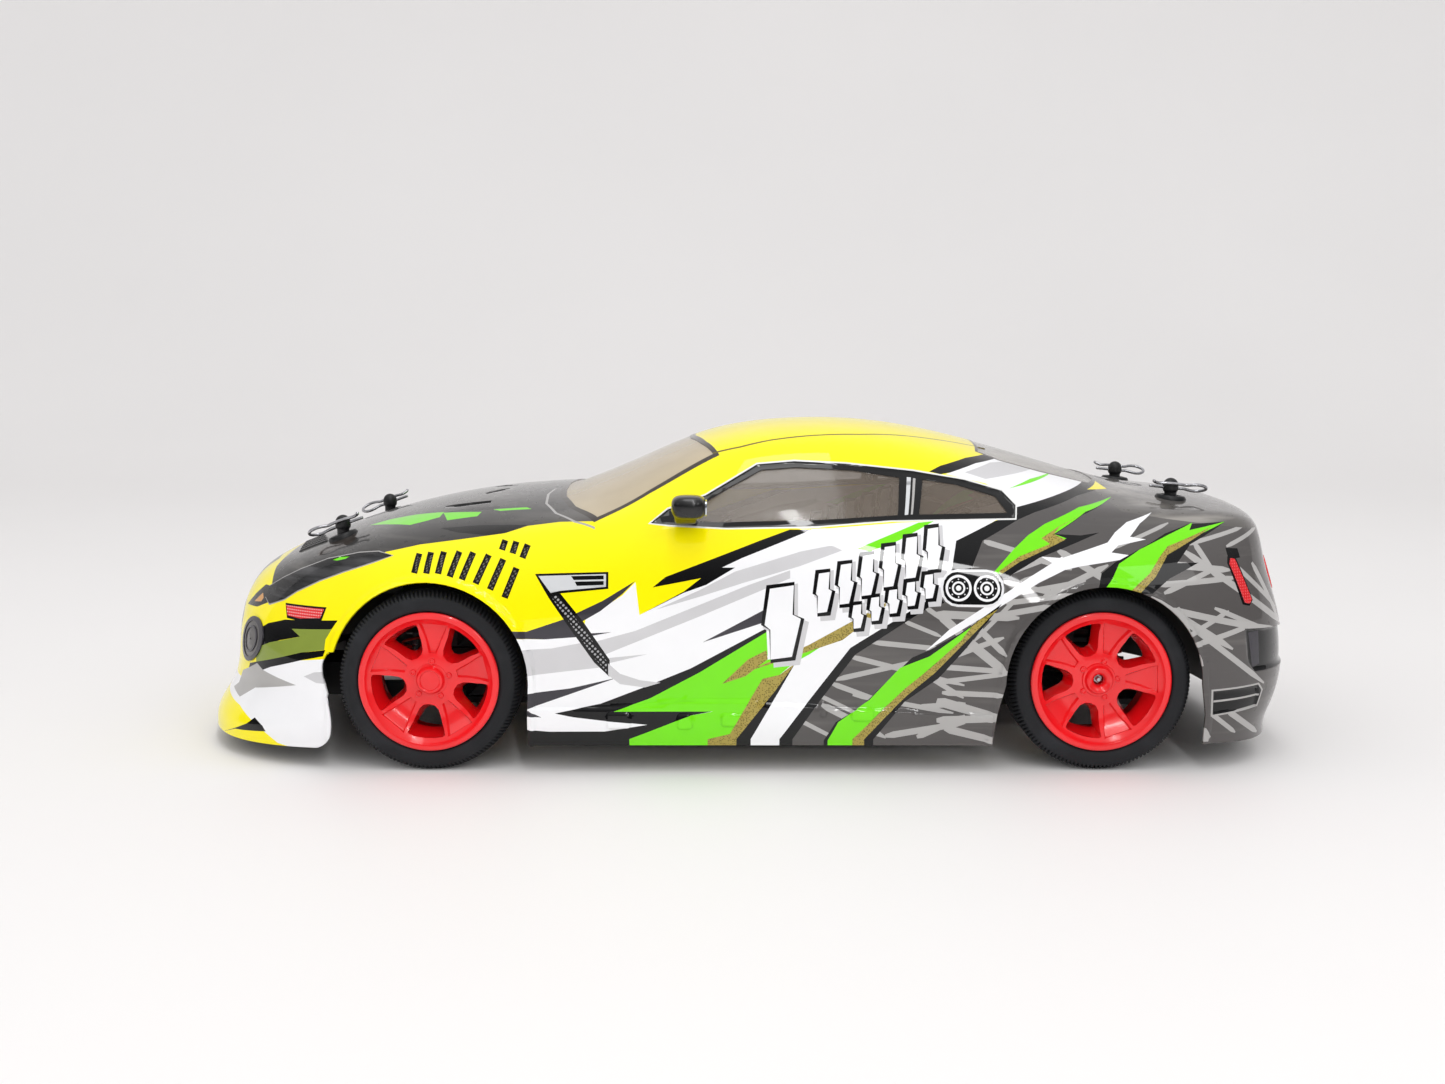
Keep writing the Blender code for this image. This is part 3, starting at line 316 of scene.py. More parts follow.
def tinted_window(name, colour, opacity=0.5):
    """Clear plastic sheet sprayed thinly from behind: see-through, with faint clouding and ripples."""
    look = Look(name, Specular_IOR_Level=0.5, Coat_Weight=0.4, Coat_Roughness=0.03)
    cloud = look.noise(24.0, 3.0)
    look.colour(look.blend(cloud, scaled_colour(colour, 0.85), scaled_colour(colour, 1.15)))
    look.put(look.shader, Alpha=look.between(cloud, opacity - 0.08, opacity + 0.08))
    look.roughness(look.between(look.noise(150.0), 0.05, 0.14))
    look.bump(look.noise(60.0, 1.0), 0.1, 0.0004)
    return look.material


def dotted_reflector(name, colour, dots):
    """A moulded reflector: a square grid of bright beads in a coloured lens."""
    look = Look(name, Coat_Weight=0.9, Coat_Roughness=0.04)
    grid = look.maths("MULTIPLY", look.bands(300.0, "Y"), look.bands(300.0, "Z"))
    look.colour(look.blend(look.sharpened(grid, 0.45, 0.6), colour, dots))
    look.roughness(look.between(look.noise(200.0), 0.12, 0.25))
    look.bump(grid, 0.4, 0.0004)
    return look.material


YELLOW, WHITE = rgb(255, 238, 0), rgb(240, 240, 242)
GREEN, GOLD = rgb(116, 226, 14), rgb(166, 148, 70)
CHARCOAL, REAR_CHARCOAL = rgb(58, 56, 62), rgb(84, 81, 80)
PALE_GREY, SILVER, OLIVE = rgb(202, 201, 203), rgb(172, 170, 168), rgb(132, 148, 62)

LOOKS = {
    "yellow": printed_film("yellow_ink", YELLOW, 0.03),
    "white": printed_film("white_ink", WHITE, 0.03),
    "black": printed_film("black_ink", rgb(8, 8, 10), 0.15),
    "green": printed_film("green_ink", GREEN, 0.05),
    "gold": halftone_film("gold_ink", GOLD, rgb(120, 106, 44)),
    "charcoal": printed_film("charcoal_ink", CHARCOAL, 0.08),
    "rear": brushed_film("rear_charcoal_ink", REAR_CHARCOAL, rgb(96, 93, 91)),
    "boot": brushed_film("boot_charcoal_ink", rgb(92, 89, 86), rgb(150, 146, 140)),
    "grey": printed_film("pale_grey_ink", PALE_GREY, 0.05),
    "silver": printed_film("silver_ink", SILVER, 0.06),
    "olive": printed_film("olive_ink", OLIVE, 0.12),
    "hood": brushed_film("hood_charcoal_ink", rgb(58, 57, 56), rgb(84, 82, 79)),
    "pin": printed_film("white_line_ink", rgb(228, 228, 226), 0.03),
    "seam": printed_film("seam_ink", rgb(96, 84, 24), 0.1),
    "screen_edge": printed_film("screen_edge_ink", rgb(58, 52, 48), 0.1),
    "weave": woven_film("carbon_ink", rgb(10, 10, 12), rgb(164, 164, 166), 300.0),
    "chrome": brushed_film("chrome_ink", rgb(206, 208, 210), rgb(60, 60, 62)),
    "slot": woven_film("louvre_ink", rgb(26, 24, 22), rgb(120, 114, 104), 360.0),
    "lamp_dark": brushed_film("lamp_ink", rgb(18, 18, 20), rgb(72, 72, 74)),
    "amber": printed_film("amber_ink", rgb(206, 150, 84), 0.2),
    "reflector": dotted_reflector("reflector_lens", rgb(226, 30, 34), rgb(250, 190, 190)),
    "rear_lamp": dotted_reflector("rear_lamp_lens", rgb(214, 16, 26), rgb(248, 60, 66)),
    "inside": moulded_plastic("shell_inside", rgb(46, 45, 44), 0.6, 500.0, 0.1),
}
WINDSCREEN_FILM = tinted_window("windscreen_film", rgb(216, 200, 170), 0.72)
SIDE_FILM = tinted_window("side_window_film", rgb(126, 114, 102), 0.42)
REAR_FILM = tinted_window("rear_window_film", rgb(208, 204, 198), 0.6)
BLACK_PLASTIC = moulded_plastic("black_moulding", rgb(20, 20, 22))
GLOSS_BLACK = moulded_plastic("gloss_black_moulding", rgb(8, 8, 9), 0.24, 900.0, 0.04, 0.3)
RED_PLASTIC = moulded_plastic("red_moulding", rgb(240, 20, 28), 0.2, 700.0, 0.04, 0.5)
TYRE_RUBBER = rubber("tyre_compound", rgb(30, 31, 34))
STEEL = bright_metal("steel_rod", rgb(186, 186, 190))
MIRROR_FILM = bright_metal("mirror_film", rgb(210, 214, 220), 0.08, (20.0, 20.0, 20.0))

# ---- outlines ----
def bar(a, b, half, length_grow=0.0):
    """A straight bar's outline, from a to b and half wide to each side."""
    (u0, v0), (u1, v1) = a, b
    length = math.hypot(u1 - u0, v1 - v0)
    du, dv = (u1 - u0) / length, (v1 - v0) / length
    outline = []
    for u, v, end, side in ((u0, v0, -1, 1), (u1, v1, 1, 1), (u1, v1, 1, -1), (u0, v0, -1, -1)):
        along, across = end * length_grow, side * half
        outline.append((u + du * along + dv * across, v + dv * along - du * across))
    return outline


def stroke(y0, z0, y1, z1, half):
    """A long brush stroke's outline, narrowed at both ends."""
    length = math.hypot(y1 - y0, z1 - z0)
    dy, dz = (y1 - y0) / length, (z1 - z0) / length
    y0, z0, length, half = y0 - dy * 1.5, z0 - dz * 1.5, length + 3.5, half * 0.85
    stations = ((0, 0.5), (0.1, 1.0), (0.86, 0.9), (1, 0.3))
    outline = []
    for side, run in ((1, stations), (-1, reversed(stations))):
        for share, width in run:
            along, across = length * share, side * half * width
            outline.append((y0 + dy * along + dz * across, z0 + dz * along - dy * across))
    return outline


def spline(a, b, c, d, t):
    """The Catmull-Rom curve between b and c, for numbers or for vectors."""
    square, cube = 2 * a - 5 * b + 4 * c - d, 3 * b - a - 3 * c + d
    return 0.5 * (2 * b + (c - a) * t + square * t * t + cube * t ** 3)


def curved(points, steps=5):
    """An open run of points, rounded through them."""
    padded = [points[0], *points, points[-1]]
    run = []
    for four in zip(padded, padded[1:], padded[2:], padded[3:]):
        for k in range(steps):
            run.append(tuple(spline(*values, k / steps) for values in zip(*four)))
    return [*run, points[-1]]


def circle(u, v, radius, count=24):
    return [(u + radius * math.cos(2 * math.pi * k / count), v + radius * math.sin(2 * math.pi * k / count))
            for k in range(count)]


def rounded_box(u0, v0, u1, v1, radius, steps=4):
    outline = []
    for cu, cv, first in ((u1 - radius, v0 + radius, -90), (u1 - radius, v1 - radius, 0),
                          (u0 + radius, v1 - radius, 90), (u0 + radius, v0 + radius, 180)):
        for k in range(steps + 1):
            angle = math.radians(first + 90 * k / steps)
            outline.append((cu + radius * math.cos(angle), cv + radius * math.sin(angle)))
    return outline


def grown(outline, distance):
    """The outline moved outward by distance, or inward if distance is negative."""
    area = sum(a[0] * b[1] - b[0] * a[1] for a, b in zip(outline, outline[1:] + outline[:1]))
    way = distance if area > 0 else -distance
    moved = []
    for before, at, after in zip(outline[-1:] + outline[:-1], outline, outline[1:] + outline[:1]):
        into = Vector((at[0] - before[0], at[1] - before[1])).normalized()
        onward = Vector((after[0] - at[0], after[1] - at[1])).normalized()
        outward = Vector((into.y + onward.y, -into.x - onward.x))
        outward = outward.normalized() if outward.length > 1e-6 else Vector((into.y, -into.x))
        stretch = way / max(0.5, outward.dot(Vector((into.y, -into.x))))
        moved.append((at[0] + outward.x * stretch, at[1] + outward.y * stretch))
    return moved


# ---- the printing on the shell ----
# Each entry is an ink, the view it is drawn in and its outline, and later entries cover earlier ones. The
# side view is (y, z), the top view (x, y) and the end view (x, z), all for the left half. "hole" is cut away.
WINDSCREEN = [(-5, -76), (25, -75), (41, -73.5), (60, -68), (77, -58), (65, -38), (53, -13), (35, -18.5),
    (12, -23), (-5, -24)]
REAR_SCREEN = [(-5, 99), (28, 97.5), (38, 96), (43, 104), (44, 120), (42, 141), (28, 146), (-5, 148)]

FRONT_INKS = [
    ("white", "side", [(-92, 52.5), (-77, 52), (-62.5, 53.5), (-61.5, 59.5), (-47.5, 68.5), (-42.5, 73.5),
        (-41, 61), (-24, 69.5), (-15.5, 72.5), (-4.5, 79), (-9.5, 79), (-2, 82.5), (25, 93), (59, 95.5),
        (97.5, 97), (80.5, 89), (78.5, 76.5), (73.5, 68.5), (39.5, 48.5), (12.5, 13), (12.5, 5), (-86, 5)]),
    ("grey", "side", [(-86.5, 48), (-74.5, 48.5), (-63, 50.5), (-55.5, 41), (-84.5, 38)]),
    ("grey", "side", [(-57.5, 51), (-42.5, 55), (-0.5, 72), (16.5, 78), (16.5, 75), (-18, 60.5), (-54, 46)]),
    ("grey", "side", [(-35, 63), (-18, 70.5), (-4.5, 77.5), (20.5, 85), (36.5, 88), (39.5, 86.5), (20, 79.5),
        (-0.5, 73.5), (-18, 68)]),
    ("grey", "side", [(-54, 44.5), (-38, 46), (-53, 42.5)]),
    ("charcoal", "side", [(-92, 55.5), (-84, 55), (-70, 59.5), (-55, 66.5), (-42.5, 74), (-47.5, 69),
        (-56, 62.5), (-67.5, 56), (-62.5, 54), (-51.5, 54.5), (-60, 53), (-77, 52), (-89.5, 52.5)]),
    ("charcoal", "side", [(-85, 31), (-67.5, 33), (-49.5, 37), (-84.5, 25), (-78.5, 22), (-85, 22.5)]),
    ("black", "side", [(-73.5, 23.5), (-56, 27), (-40, 33), (-21.5, 40.5), (7.5, 56), (7.5, 54), (-2.5, 47),
        (-37, 29), (-51, 24), (-13.5, 24), (-21.5, 22.5), (-45, 13.5), (-45, 5), (-85.5, 5), (-86.5, 17.5),
        (-75.5, 16.5), (-54.5, 16.5), (-38, 19), (-54.5, 20.5), (-66.5, 22)]),
    ("charcoal", "side", [(-17, 50.5), (7.5, 63.5), (7.5, 58.5)]),
    ("green", "side", [(-51, 24), (-37, 29), (-18, 39), (7.5, 54.5), (8, 45.5), (4.5, 43), (20.5, 47),
        (36, 54), (24, 46), (18.5, 43), (12.5, 38), (-6.5, 15), (-7, 5), (-45, 5), (-45, 13.5), (-21.5, 22.5),
        (-13, 24)]),
    ("gold", "side", [(7.5, 47.5), (0.5, 44), (-9.5, 34.5), (-0.5, 37.5), (8, 44)]),
    ("gold", "side", [(-0.5, 39), (23.5, 49.5), (47, 62.5), (56.5, 68), (50.5, 62.5), (36.5, 51.5),
        (20.5, 46)]),
    ("gold", "side", [(6, 36.5), (12.5, 38), (18.5, 42.5), (11, 32), (-4, 13.5), (-4, 5), (-15, 5),
        (-15, 13.5), (-6.5, 15.5)]),
    ("black", "side", [(18.5, 42.5), (12.5, 32), (1.5, 13.5), (1.5, 5), (-4, 5), (-4, 13.5), (11, 32)]),
    ("black", "side", [(73.5, 68.5), (68, 66.5), (39.5, 48.5), (12.5, 13.5), (12.5, 5), (17.5, 5),
        (17.5, 13.5), (25, 24), (41.5, 46), (69.5, 64.5), (75, 66)]),
    ("black", "side", [(-36, 71.5), (-31, 75.5), (5, 89), (16.5, 93), (25, 93), (-2, 82.5), (-9.5, 79),
        (-4.5, 79), (-15.5, 72.5), (-24, 69.5), (-41, 61), (-24, 70), (-17.5, 75)]),
    ("green", "side", [(42, 86), (52, 90), (66, 95.5), (72, 96), (58, 89), (47, 85)]),
]
REAR_INKS = [
    ("white", "side", [(68, 47.5), (77, 56), (107, 76), (119.5, 83.5), (124, 80.5), (110.5, 74),
        (82.5, 56.5)]),
    ("white", "side", [(158, 98.5), (146.5, 95.5), (141, 92), (137.5, 88.5), (119.5, 83), (111.5, 83.5),
        (118, 80), (112.5, 77), (126, 80), (149, 83.5), (138.5, 85), (141.5, 87.5), (152.5, 89.5),
        (146.5, 90.5), (151.5, 95)]),
    ("black", "side", [(141, 101.5), (130, 98), (118, 91.5), (127.5, 91), (135, 92), (111, 83), (98, 75.5),
        (93.5, 77.5), (122, 90), (117.5, 91.5), (131.5, 99)]),
    ("green", "side", [(146.5, 103), (129.5, 100.5), (114.5, 95), (107.5, 91), (101.5, 86), (93.5, 77.5),
        (96.5, 77), (103.5, 82), (122, 90), (117.5, 91.5), (131.5, 99)]),
    ("gold", "side", [(131.5, 99), (120, 94), (117.5, 91.5), (121.5, 89.5), (103.5, 81.5), (96.5, 77),
        (95.5, 78), (103.5, 83.5), (115.5, 88), (112.5, 90), (119.5, 94)]),
    ("black", "side", [(186.5, 95), (170.5, 94.5), (160.5, 91.5), (152.5, 87.5), (139.5, 81.5), (134, 77.5),
        (132, 70), (153, 70), (160, 75.5), (172, 81), (163.5, 81), (169.5, 87.5)]),
    ("green", "side", [(186.5, 95), (170.5, 92.5), (172.5, 95), (161.5, 91), (149.5, 86), (141, 81),
        (138, 75.5), (133.5, 70), (143.5, 70), (152.5, 77.5), (157, 83.5), (160.5, 86.5)]),
    ("gold", "side", [(180, 93.5), (160.5, 87), (157, 83.5), (152.5, 77.5), (143.5, 70), (148, 70),
        (154.5, 76), (160, 84)]),
    ("black", "side", [(96.5, 66), (81, 54.5), (69.5, 48), (63, 45), (44, 26), (34, 20), (29.5, 13),
        (29.5, 5), (48.5, 5), (48.5, 13.5), (60.5, 28), (73, 37), (83, 48.5)]),
    ("green", "side", [(85, 57), (69.5, 45.5), (58.5, 41), (47, 28.5), (35, 20), (31, 13), (31, 5), (41, 5),
        (41, 13.5), (51, 24), (77, 47.5), (81.5, 52)]),
    ("gold", "side", [(95, 64), (88.5, 60), (85, 57), (81.5, 52), (70, 41), (60.5, 33), (40.5, 13.5),
        (40.5, 5), (45, 5), (45, 13.5), (53, 22), (61.5, 30.5), (71.5, 39)]),
]
PILLAR_INKS = [
    ("black", "side", [(139.5, 108), (148.5, 106), (131.5, 104), (111.5, 99), (104.5, 96.5), (90, 89),
        (84, 76), (77, 74.5), (80, 89), (95.5, 96), (105, 98.5), (103.5, 100.5)]),
    ("yellow", "side", [(137.5, 105.5), (146, 107), (147.5, 105)]),
    ("black", "side", [(72.5, 113.5), (77.5, 115.5), (89, 118), (102.5, 119), (108.5, 117.5), (92.5, 116),
        (81, 113), (77, 112.5)]),
    ("white", "side", [(79, 112.5), (92.5, 116), (108.5, 117.8), (124, 114), (139.5, 108), (103.5, 100.5),
        (100, 106), (94.5, 109)]),
    ("grey", "side", [(87, 113), (99, 116), (112.5, 116), (122, 113.5), (95, 110.5)]),
    ("green", "side", [(103.5, 107), (114, 110), (128.5, 111.8), (113.5, 108.7)]),
]
WINDOW_FRAME = [(-37, 95.2), (-30.5, 100), (-16, 105), (4.4, 116.3), (19, 117.5), (39.5, 116.6), (66, 113.8),
    (86.3, 110.4), (100.5, 106.4), (104.6, 101.5), (103.5, 97), (55.5, 96.3), (26.7, 94.2), (-7.4, 93.6),
    (-30, 94.6)]
FRONT_PANE = [(-29, 96.8), (-16, 103.2), (-7, 108.2), (6.1, 114.7), (20, 115.7), (42.3, 114.6), (60.4, 111.9),
    (58.4, 98.4), (27, 96.6), (-13, 95.8)]
REAR_PANE = [(69.6, 111.2), (83, 109.2), (97.5, 105), (101.2, 99.2), (66.6, 98.6)]
WINDOW_INKS = [
    ("pin", "side", grown(WINDOW_FRAME, 0.55)),
    ("black", "side", WINDOW_FRAME),
    ("front_glass", "side", FRONT_PANE),
    ("rear_glass", "side", REAR_PANE),
    # On the pillar between the two panes, a chrome strip and a thinner silver one: a painted highlight on the
    # black pillar.
    ("chrome", "side", [(63.4, 112), (65, 111.8), (62.4, 98.6), (61, 98.4)]),
    ("silver", "side", [(65.8, 111.6), (66.8, 111.4), (64.2, 98.7), (63.4, 98.6)]),
]
DUCTS = [
    [(38, -125), (38, -114), (39, -104), (44, -104), (44, -113), (44, -119)],
    [(15, -112), (6, -104), (5, -100), (14, -104), (19, -110)],
]
HOOD_INKS = [
    ("hood", "side", [(-190.8, 63), (-193, 72.8), (-186, 90), (-235, 140), (-235, 141), (-59, 141),
        (-59, 95.5), (-72.5, 95), (-85, 93.5), (-93.5, 91), (-126.5, 86.5), (-140, 83.5), (-159, 77.5),
        (-177.5, 72.5)]),
    ("black", "side", [(-120.5, 91.7), (-104, 93.2), (-85, 93.8), (-93.5, 91), (-100, 90.2), (-113.5, 90.8)]),
    ("green", "top", [(40, -155), (40, -147), (44, -135), (50, -122.5), (57, -123), (59, -128), (60, -134.5),
        (51, -144.5)]),
    ("green", "top", [(51, -122.6), (58, -106), (63, -107), (63, -119)]),
    ("green", "top", [(56, -101.6), (57, -88), (60, -85.6), (59, -98.4)]),
    *[("black", "top", duct) for duct in DUCTS],
    ("black", "top", [(51, -122), (49, -112), (52, -99.5), (56, -101.6), (55, -111)]),
    ("screen_edge", "top", [(-5, -78.5), (25, -77.5), (42, -76), (61, -70.5), (80.5, -59), (67.5, -38),
        (55, -10.5), (36, -16), (12, -20.5), (-5, -21.5)]),
    # A thin pale arc in silver ink along the windscreen's lower edge: a painted highlight of the curved cowl.
    ("silver", "top", [(20, -80.6), (35, -82.2), (53, -81), (68, -75.5), (79, -67), (84, -58.5), (83, -58.5),
        (78, -66.4), (67.4, -74.6), (52.8, -80), (35, -81.2), (20, -79.8)]),
    ("windscreen", "top", WINDSCREEN),
    ("screen_edge", "top", [(-5, 97.7), (28, 96.2), (39, 94.7), (44.2, 103.5), (45.4, 120), (43.2, 142),
        (28.6, 147.4), (-5, 149.4)]),
    ("rear_screen", "top", REAR_SCREEN),
]
HEADLAMP = [(-190.7, 60.5), (-193.4, 62.4), (-192.6, 66.2), (-185.6, 70.3), (-177.2, 74.4), (-165, 79.2),
    (-151.5, 82.3), (-143.2, 83.2), (-137.4, 82.4), (-144.2, 80.1), (-156.9, 75.8), (-166.9, 71.9),
    (-177.3, 67), (-183.4, 63.2)]
NOSE_INKS = [
    ("black", "side", [(-205, 47), (-196.5, 49.5), (-190, 53.5), (-181.5, 56), (-157.5, 58), (-160, 54.5),
        (-178, 53), (-174, 50.5), (-183.5, 48), (-194, 44), (-205, 39)]),
    ("olive", "side", [(-178, 53), (-160, 54.5), (-162.5, 50.5), (-163, 46.5), (-173.5, 44.5), (-196, 37.5),
        (-196, 43), (-188.5, 46.5), (-174, 50.5)]),
    ("black", "side", [(-200, 36), (-196, 37.5), (-173.5, 44.5), (-162.5, 46.5), (-163.5, 44), (-173.5, 41.5),
        (-188, 37), (-194.5, 34), (-202, 30)]),
    ("white", "side", [(-205, 29), (-194.5, 34), (-188, 37), (-173.5, 41.5), (-155, 44), (-155, 5), (-165, 5),
        (-183.5, 8.5), (-191.5, 13.5), (-203.5, 19.5), (-230, 24), (-222, 28)]),
    ("grey", "side", [(-172, 35.5), (-167.5, 37.5), (-164, 38), (-160, 38), (-160, 33.5), (-166.5, 33.5)]),
    ("black", "side", [(-213, 7), (-198.5, 14), (-194.5, 17), (-190.5, 14.5), (-189, 12.5), (-205, 10.5)]),
    ("black", "end", [(-5, 58), (34, 57.5), (42, 52), (39, 33), (30, 29), (-5, 28)]),
    ("weave", "end", [(-5, 56.5), (33, 56), (40, 51.5), (37.5, 34.5), (29, 30.5), (-5, 29.5)]),
    ("black", "side", [(-206, 57), (-200.5, 62.4), (-195.5, 66.4), (-192.6, 66.6), (-192, 60.6), (-198, 58)]),
    ("amber", "side", [(-200.6, 59.4), (-198.2, 61.6), (-196, 63.4), (-195, 61.8), (-196, 60.3)]),
    ("silver", "side", grown(HEADLAMP, 0.5)),
    ("lamp_dark", "side", HEADLAMP),
    ("green", "side", [(-163.5, 79), (-160, 80.4), (-154.8, 81.1), (-156.9, 79.9), (-160.4, 79)]),
    ("silver", "side", [(-207.3, 26.3), (-205.2, 31.6), (-200, 34.4), (-195.4, 37.1), (-192, 35.1),
        (-185, 33.6), (-175.5, 31.7), (-186, 29.6), (-196, 27.5), (-204.6, 22.1), (-210.9, 23.6)]),
    ("black", "side", [(-182.3, 62), (-162.7, 62.4), (-164.6, 57.2), (-174.5, 56.2), (-180.7, 56.7)]),
    ("reflector", "side", [(-181.3, 61.2), (-163.8, 61.6), (-165.3, 58.2), (-174.5, 57.2), (-180, 57.6)]),
]
TAIL_PANEL = [(190.9, 55.4), (240, 51), (240, 36.7), (196.1, 38.2), (193, 42.2)]
TRIM_INKS = [
    ("black", "side", [(-80.7, 76.8), (-52.8, 77.4), (-52.8, 71), (-71, 69.4), (-62.4, 58.6), (-52.4, 43.8),
        (-52.6, 37.4), (-58.3, 42.9), (-66.9, 55.2), (-75.4, 67.7)]),
    ("chrome", "side", [(-79.4, 76), (-53.7, 76.6), (-53.7, 71.8), (-71.2, 70.4), (-74.7, 69.6)]),
    ("vent_slot", "side", [(-67, 75.9), (-54.6, 76.1), (-54.6, 74.6), (-66, 74.4)]),
    ("vent_slot", "side", [(-65.6, 73.8), (-54.6, 74), (-54.6, 72.5), (-64.8, 72.2)]),
    ("weave", "side", [(-74.6, 68.3), (-71.8, 68.6), (-63.6, 57.7), (-53.4, 43.2), (-53.7, 39.4),
        (-57.8, 44.1), (-65.8, 55.8)]),
    ("grey", "side", [(-53, 42.5), (-48.5, 38.5), (-41, 36), (-33, 35), (-39, 33.2), (-48.5, 34.5),
        (-53, 38)]),
    ("black", "side", [(184, 85.9), (189.4, 85.4), (190.2, 82), (184.8, 81.6)]),
    ("black", "side", TAIL_PANEL),
    ("charcoal", "side", [(193.4, 53.6), (198.6, 53.9), (199.5, 40.6), (196, 39.7)]),
    ("seam", "top", [(53, -13), (52.3, -2), (49.5, 10), (47, 26), (44, 47), (35, 77), (26, 101), (25, 100.6),
        (34, 76.6), (43, 46.6), (46, 25.7), (48.5, 9.7), (51.2, -2.3), (51.8, -13.3)]),
]
LOUVRES = [((-127, 77), (-126, 83.4)), ((-122.2, 77), (-121.4, 84)), ((-117.6, 77), (-116.3, 84.3)),
           ((-113, 76), (-110.2, 84.5)), ((-108.3, 75), (-104.8, 84.3)), ((-103, 73.5), (-98.7, 83.5)),
           ((-97.5, 71.3), (-93, 82)), ((-92, 68.2), (-87.8, 78.8)), ((-93.7, 85.6), (-92.9, 88.6)),
           ((-89.5, 84.4), (-88.5, 88.2)), ((-85.6, 82.8), (-84, 87.2))]
# The silver strokes of the rear quarter, each as its two ends and its half width at the middle.
STROKES = [
    (92, 88.4, 106, 84.5, 1.2), (102, 85, 121, 79.5, 1.4), (98, 77, 113.5, 82.5, 1), (105, 75, 118, 79, 0.8),
    (97, 69, 126, 74.5, 1.1), (98.5, 74, 115, 70.3, 1.2), (113.5, 69.5, 135, 79.7, 1.4),
    (119.5, 85, 139, 73, 1.6), (99.5, 66.5, 122, 69.5, 1.2), (95, 61.5, 113, 65, 1.4),
    (73, 61.7, 101, 60.8, 1.8), (74.5, 60.4, 83, 52.6, 2), (83, 52.3, 97, 40.8, 2.2),
    (78.5, 45.8, 95.5, 52.5, 1.3), (73.5, 41.6, 97, 40.2, 1.3), (73.5, 35.6, 97, 39, 1.2),
    (76, 31.5, 97, 30.8, 1.3), (74, 28, 97, 21.5, 2.2), (74, 21, 97, 22, 1.8), (77, 17.5, 97, 12.5, 1.8),
    (84.5, 59.8, 97, 47.5, 1.5), (100.5, 66.6, 87.5, 53, 1), (166.5, 85.3, 212, 54.5, 1.5),
    (162.3, 80.4, 183.2, 78, 1.5), (156.3, 73.3, 186, 74.9, 1.3), (153.4, 67.8, 184, 49, 1.5),
    (159, 70.7, 178, 78.6, 1.2), (160.4, 64, 208.4, 52.7, 1.5), (156.1, 66.5, 200.2, 33.7, 1.4),
    (169.5, 50.3, 192, 56.2, 1.3), (166.9, 53.9, 181.9, 61.8, 1.2), (179, 63.5, 209.7, 50.2, 1.1),
    (179.2, 22.2, 188, 15.4, 1.1), (186, 23, 200.5, 12.6, 1.4), (196.8, 78.3, 210, 57.4, 1.2),
    (172.1, 86.7, 178, 76.9, 1.3), (165, 57, 172, 44, 1.2), (163.5, 63.5, 168, 52, 1.1),
    (188.5, 78.5, 208, 62, 1.1), (186, 86.8, 205, 93, 0.9), (169.5, 87.8, 192.5, 92.6, 0.9),
    (140, 86.8, 161, 94.4, 0.8), (49, 50.6, 81, 47.8, 1.2), (39.5, 45.2, 81, 35, 1.2),
    (33.5, 34.4, 56.5, 26, 1.2), (35.5, 36.6, 64, 43.3, 1.2), (42, 30.2, 77, 24, 1.2),
    (30, 26, 51.5, 15, 1.5), (64, 41, 81, 30.6, 1.2), (66.5, 15, 81.5, 22, 1.5), (54.5, 15, 81.5, 19.7, 1.5),
    (67, 26, 81.5, 27.3, 1.2), (69, 63.5, 81, 55.3, 1.1), (61.5, 58.2, 72, 54, 1), (18.5, 21.6, 31.5, 15, 1),
    (28, 30, 41, 23.8, 1),
]


def shards():
    """Two rising rows of slanted blocks with a black edge and a pale shadow."""
    blocks = [(13, 58, 26, 7.6)] + [(29 + 8.4 * k, 69.5 + 3.3 * k, 14.5, 3.4) for k in range(6)]
    blocks += [(42 + 6.8 * k, 60.5 + 2.9 * k, 8.5, 2.5) for k in range(5)]
    layers = []
    for grow, shift, ink in ((1.9, 1.2, "grey"), (1.35, 0.0, "black"), (0.0, 0.0, "white")):
        for y, z, height, half in blocks:
            lean, step = height * 0.13, half * 0.35
            h, w = height / 2 + grow, half + grow
            outline = [(-w + lean, -h), (step * 0.2 + lean, -h - step * 0.4), (w * 0.35 + lean * 0.4, -step),
                       (w - lean * 0.4, -step * 0.3), (w - lean, h), (-w * 0.2 - lean, h + step * 0.5),
                       (-w * 0.45 - lean * 0.3, step * 1.2), (-w, step * 0.6)]
            layers.append((ink, "side", [(y - a + shift, z + b - shift) for a, b in outline]))
    return layers


def arch(axle):
    """The wheel opening: a half circle over two straight legs."""
    y0, radius, foot = AXLES[axle], ARCH_R[axle], ARCH_FOOT[axle]
    toe = 2.3 if axle == "rear" else 0
    outline = [(y0 - foot - toe, -20), (y0 + foot, -20), (y0 + foot, AXLE_Z - 12)]
    for k in range(33):
        angle = math.pi * k / 32
        outline.append((y0 + radius * math.cos(angle), AXLE_Z + radius * math.sin(angle)))
    outline += [(y0 - foot - toe * 0.45, AXLE_Z - 12), (y0 - foot - toe, AXLE_Z - 22)]
    return outline


# Each blister's box: y and z of its lower front corner, then of its upper rear corner.
SILL_BLISTERS = [(-54, 17, -44, 23.8), (-27, 16.8, -20.4, 23.2), (-10.2, 17.8, -1.8, 23.4),
                 (27.6, 21.4, 31, 28), (39.6, 20, 49, 26)]
GAUGE_PANEL = (73.6, 64.6, 97.4, 78.6)
GAUGE_PANEL_R = 6.4
SILL = [(-84, 26), (-44, 26.6), (-24, 29), (4, 28.4), (27, 26.5), (55, 25.7), (95, 23.6), (95, -12),
    (-84, -12)]


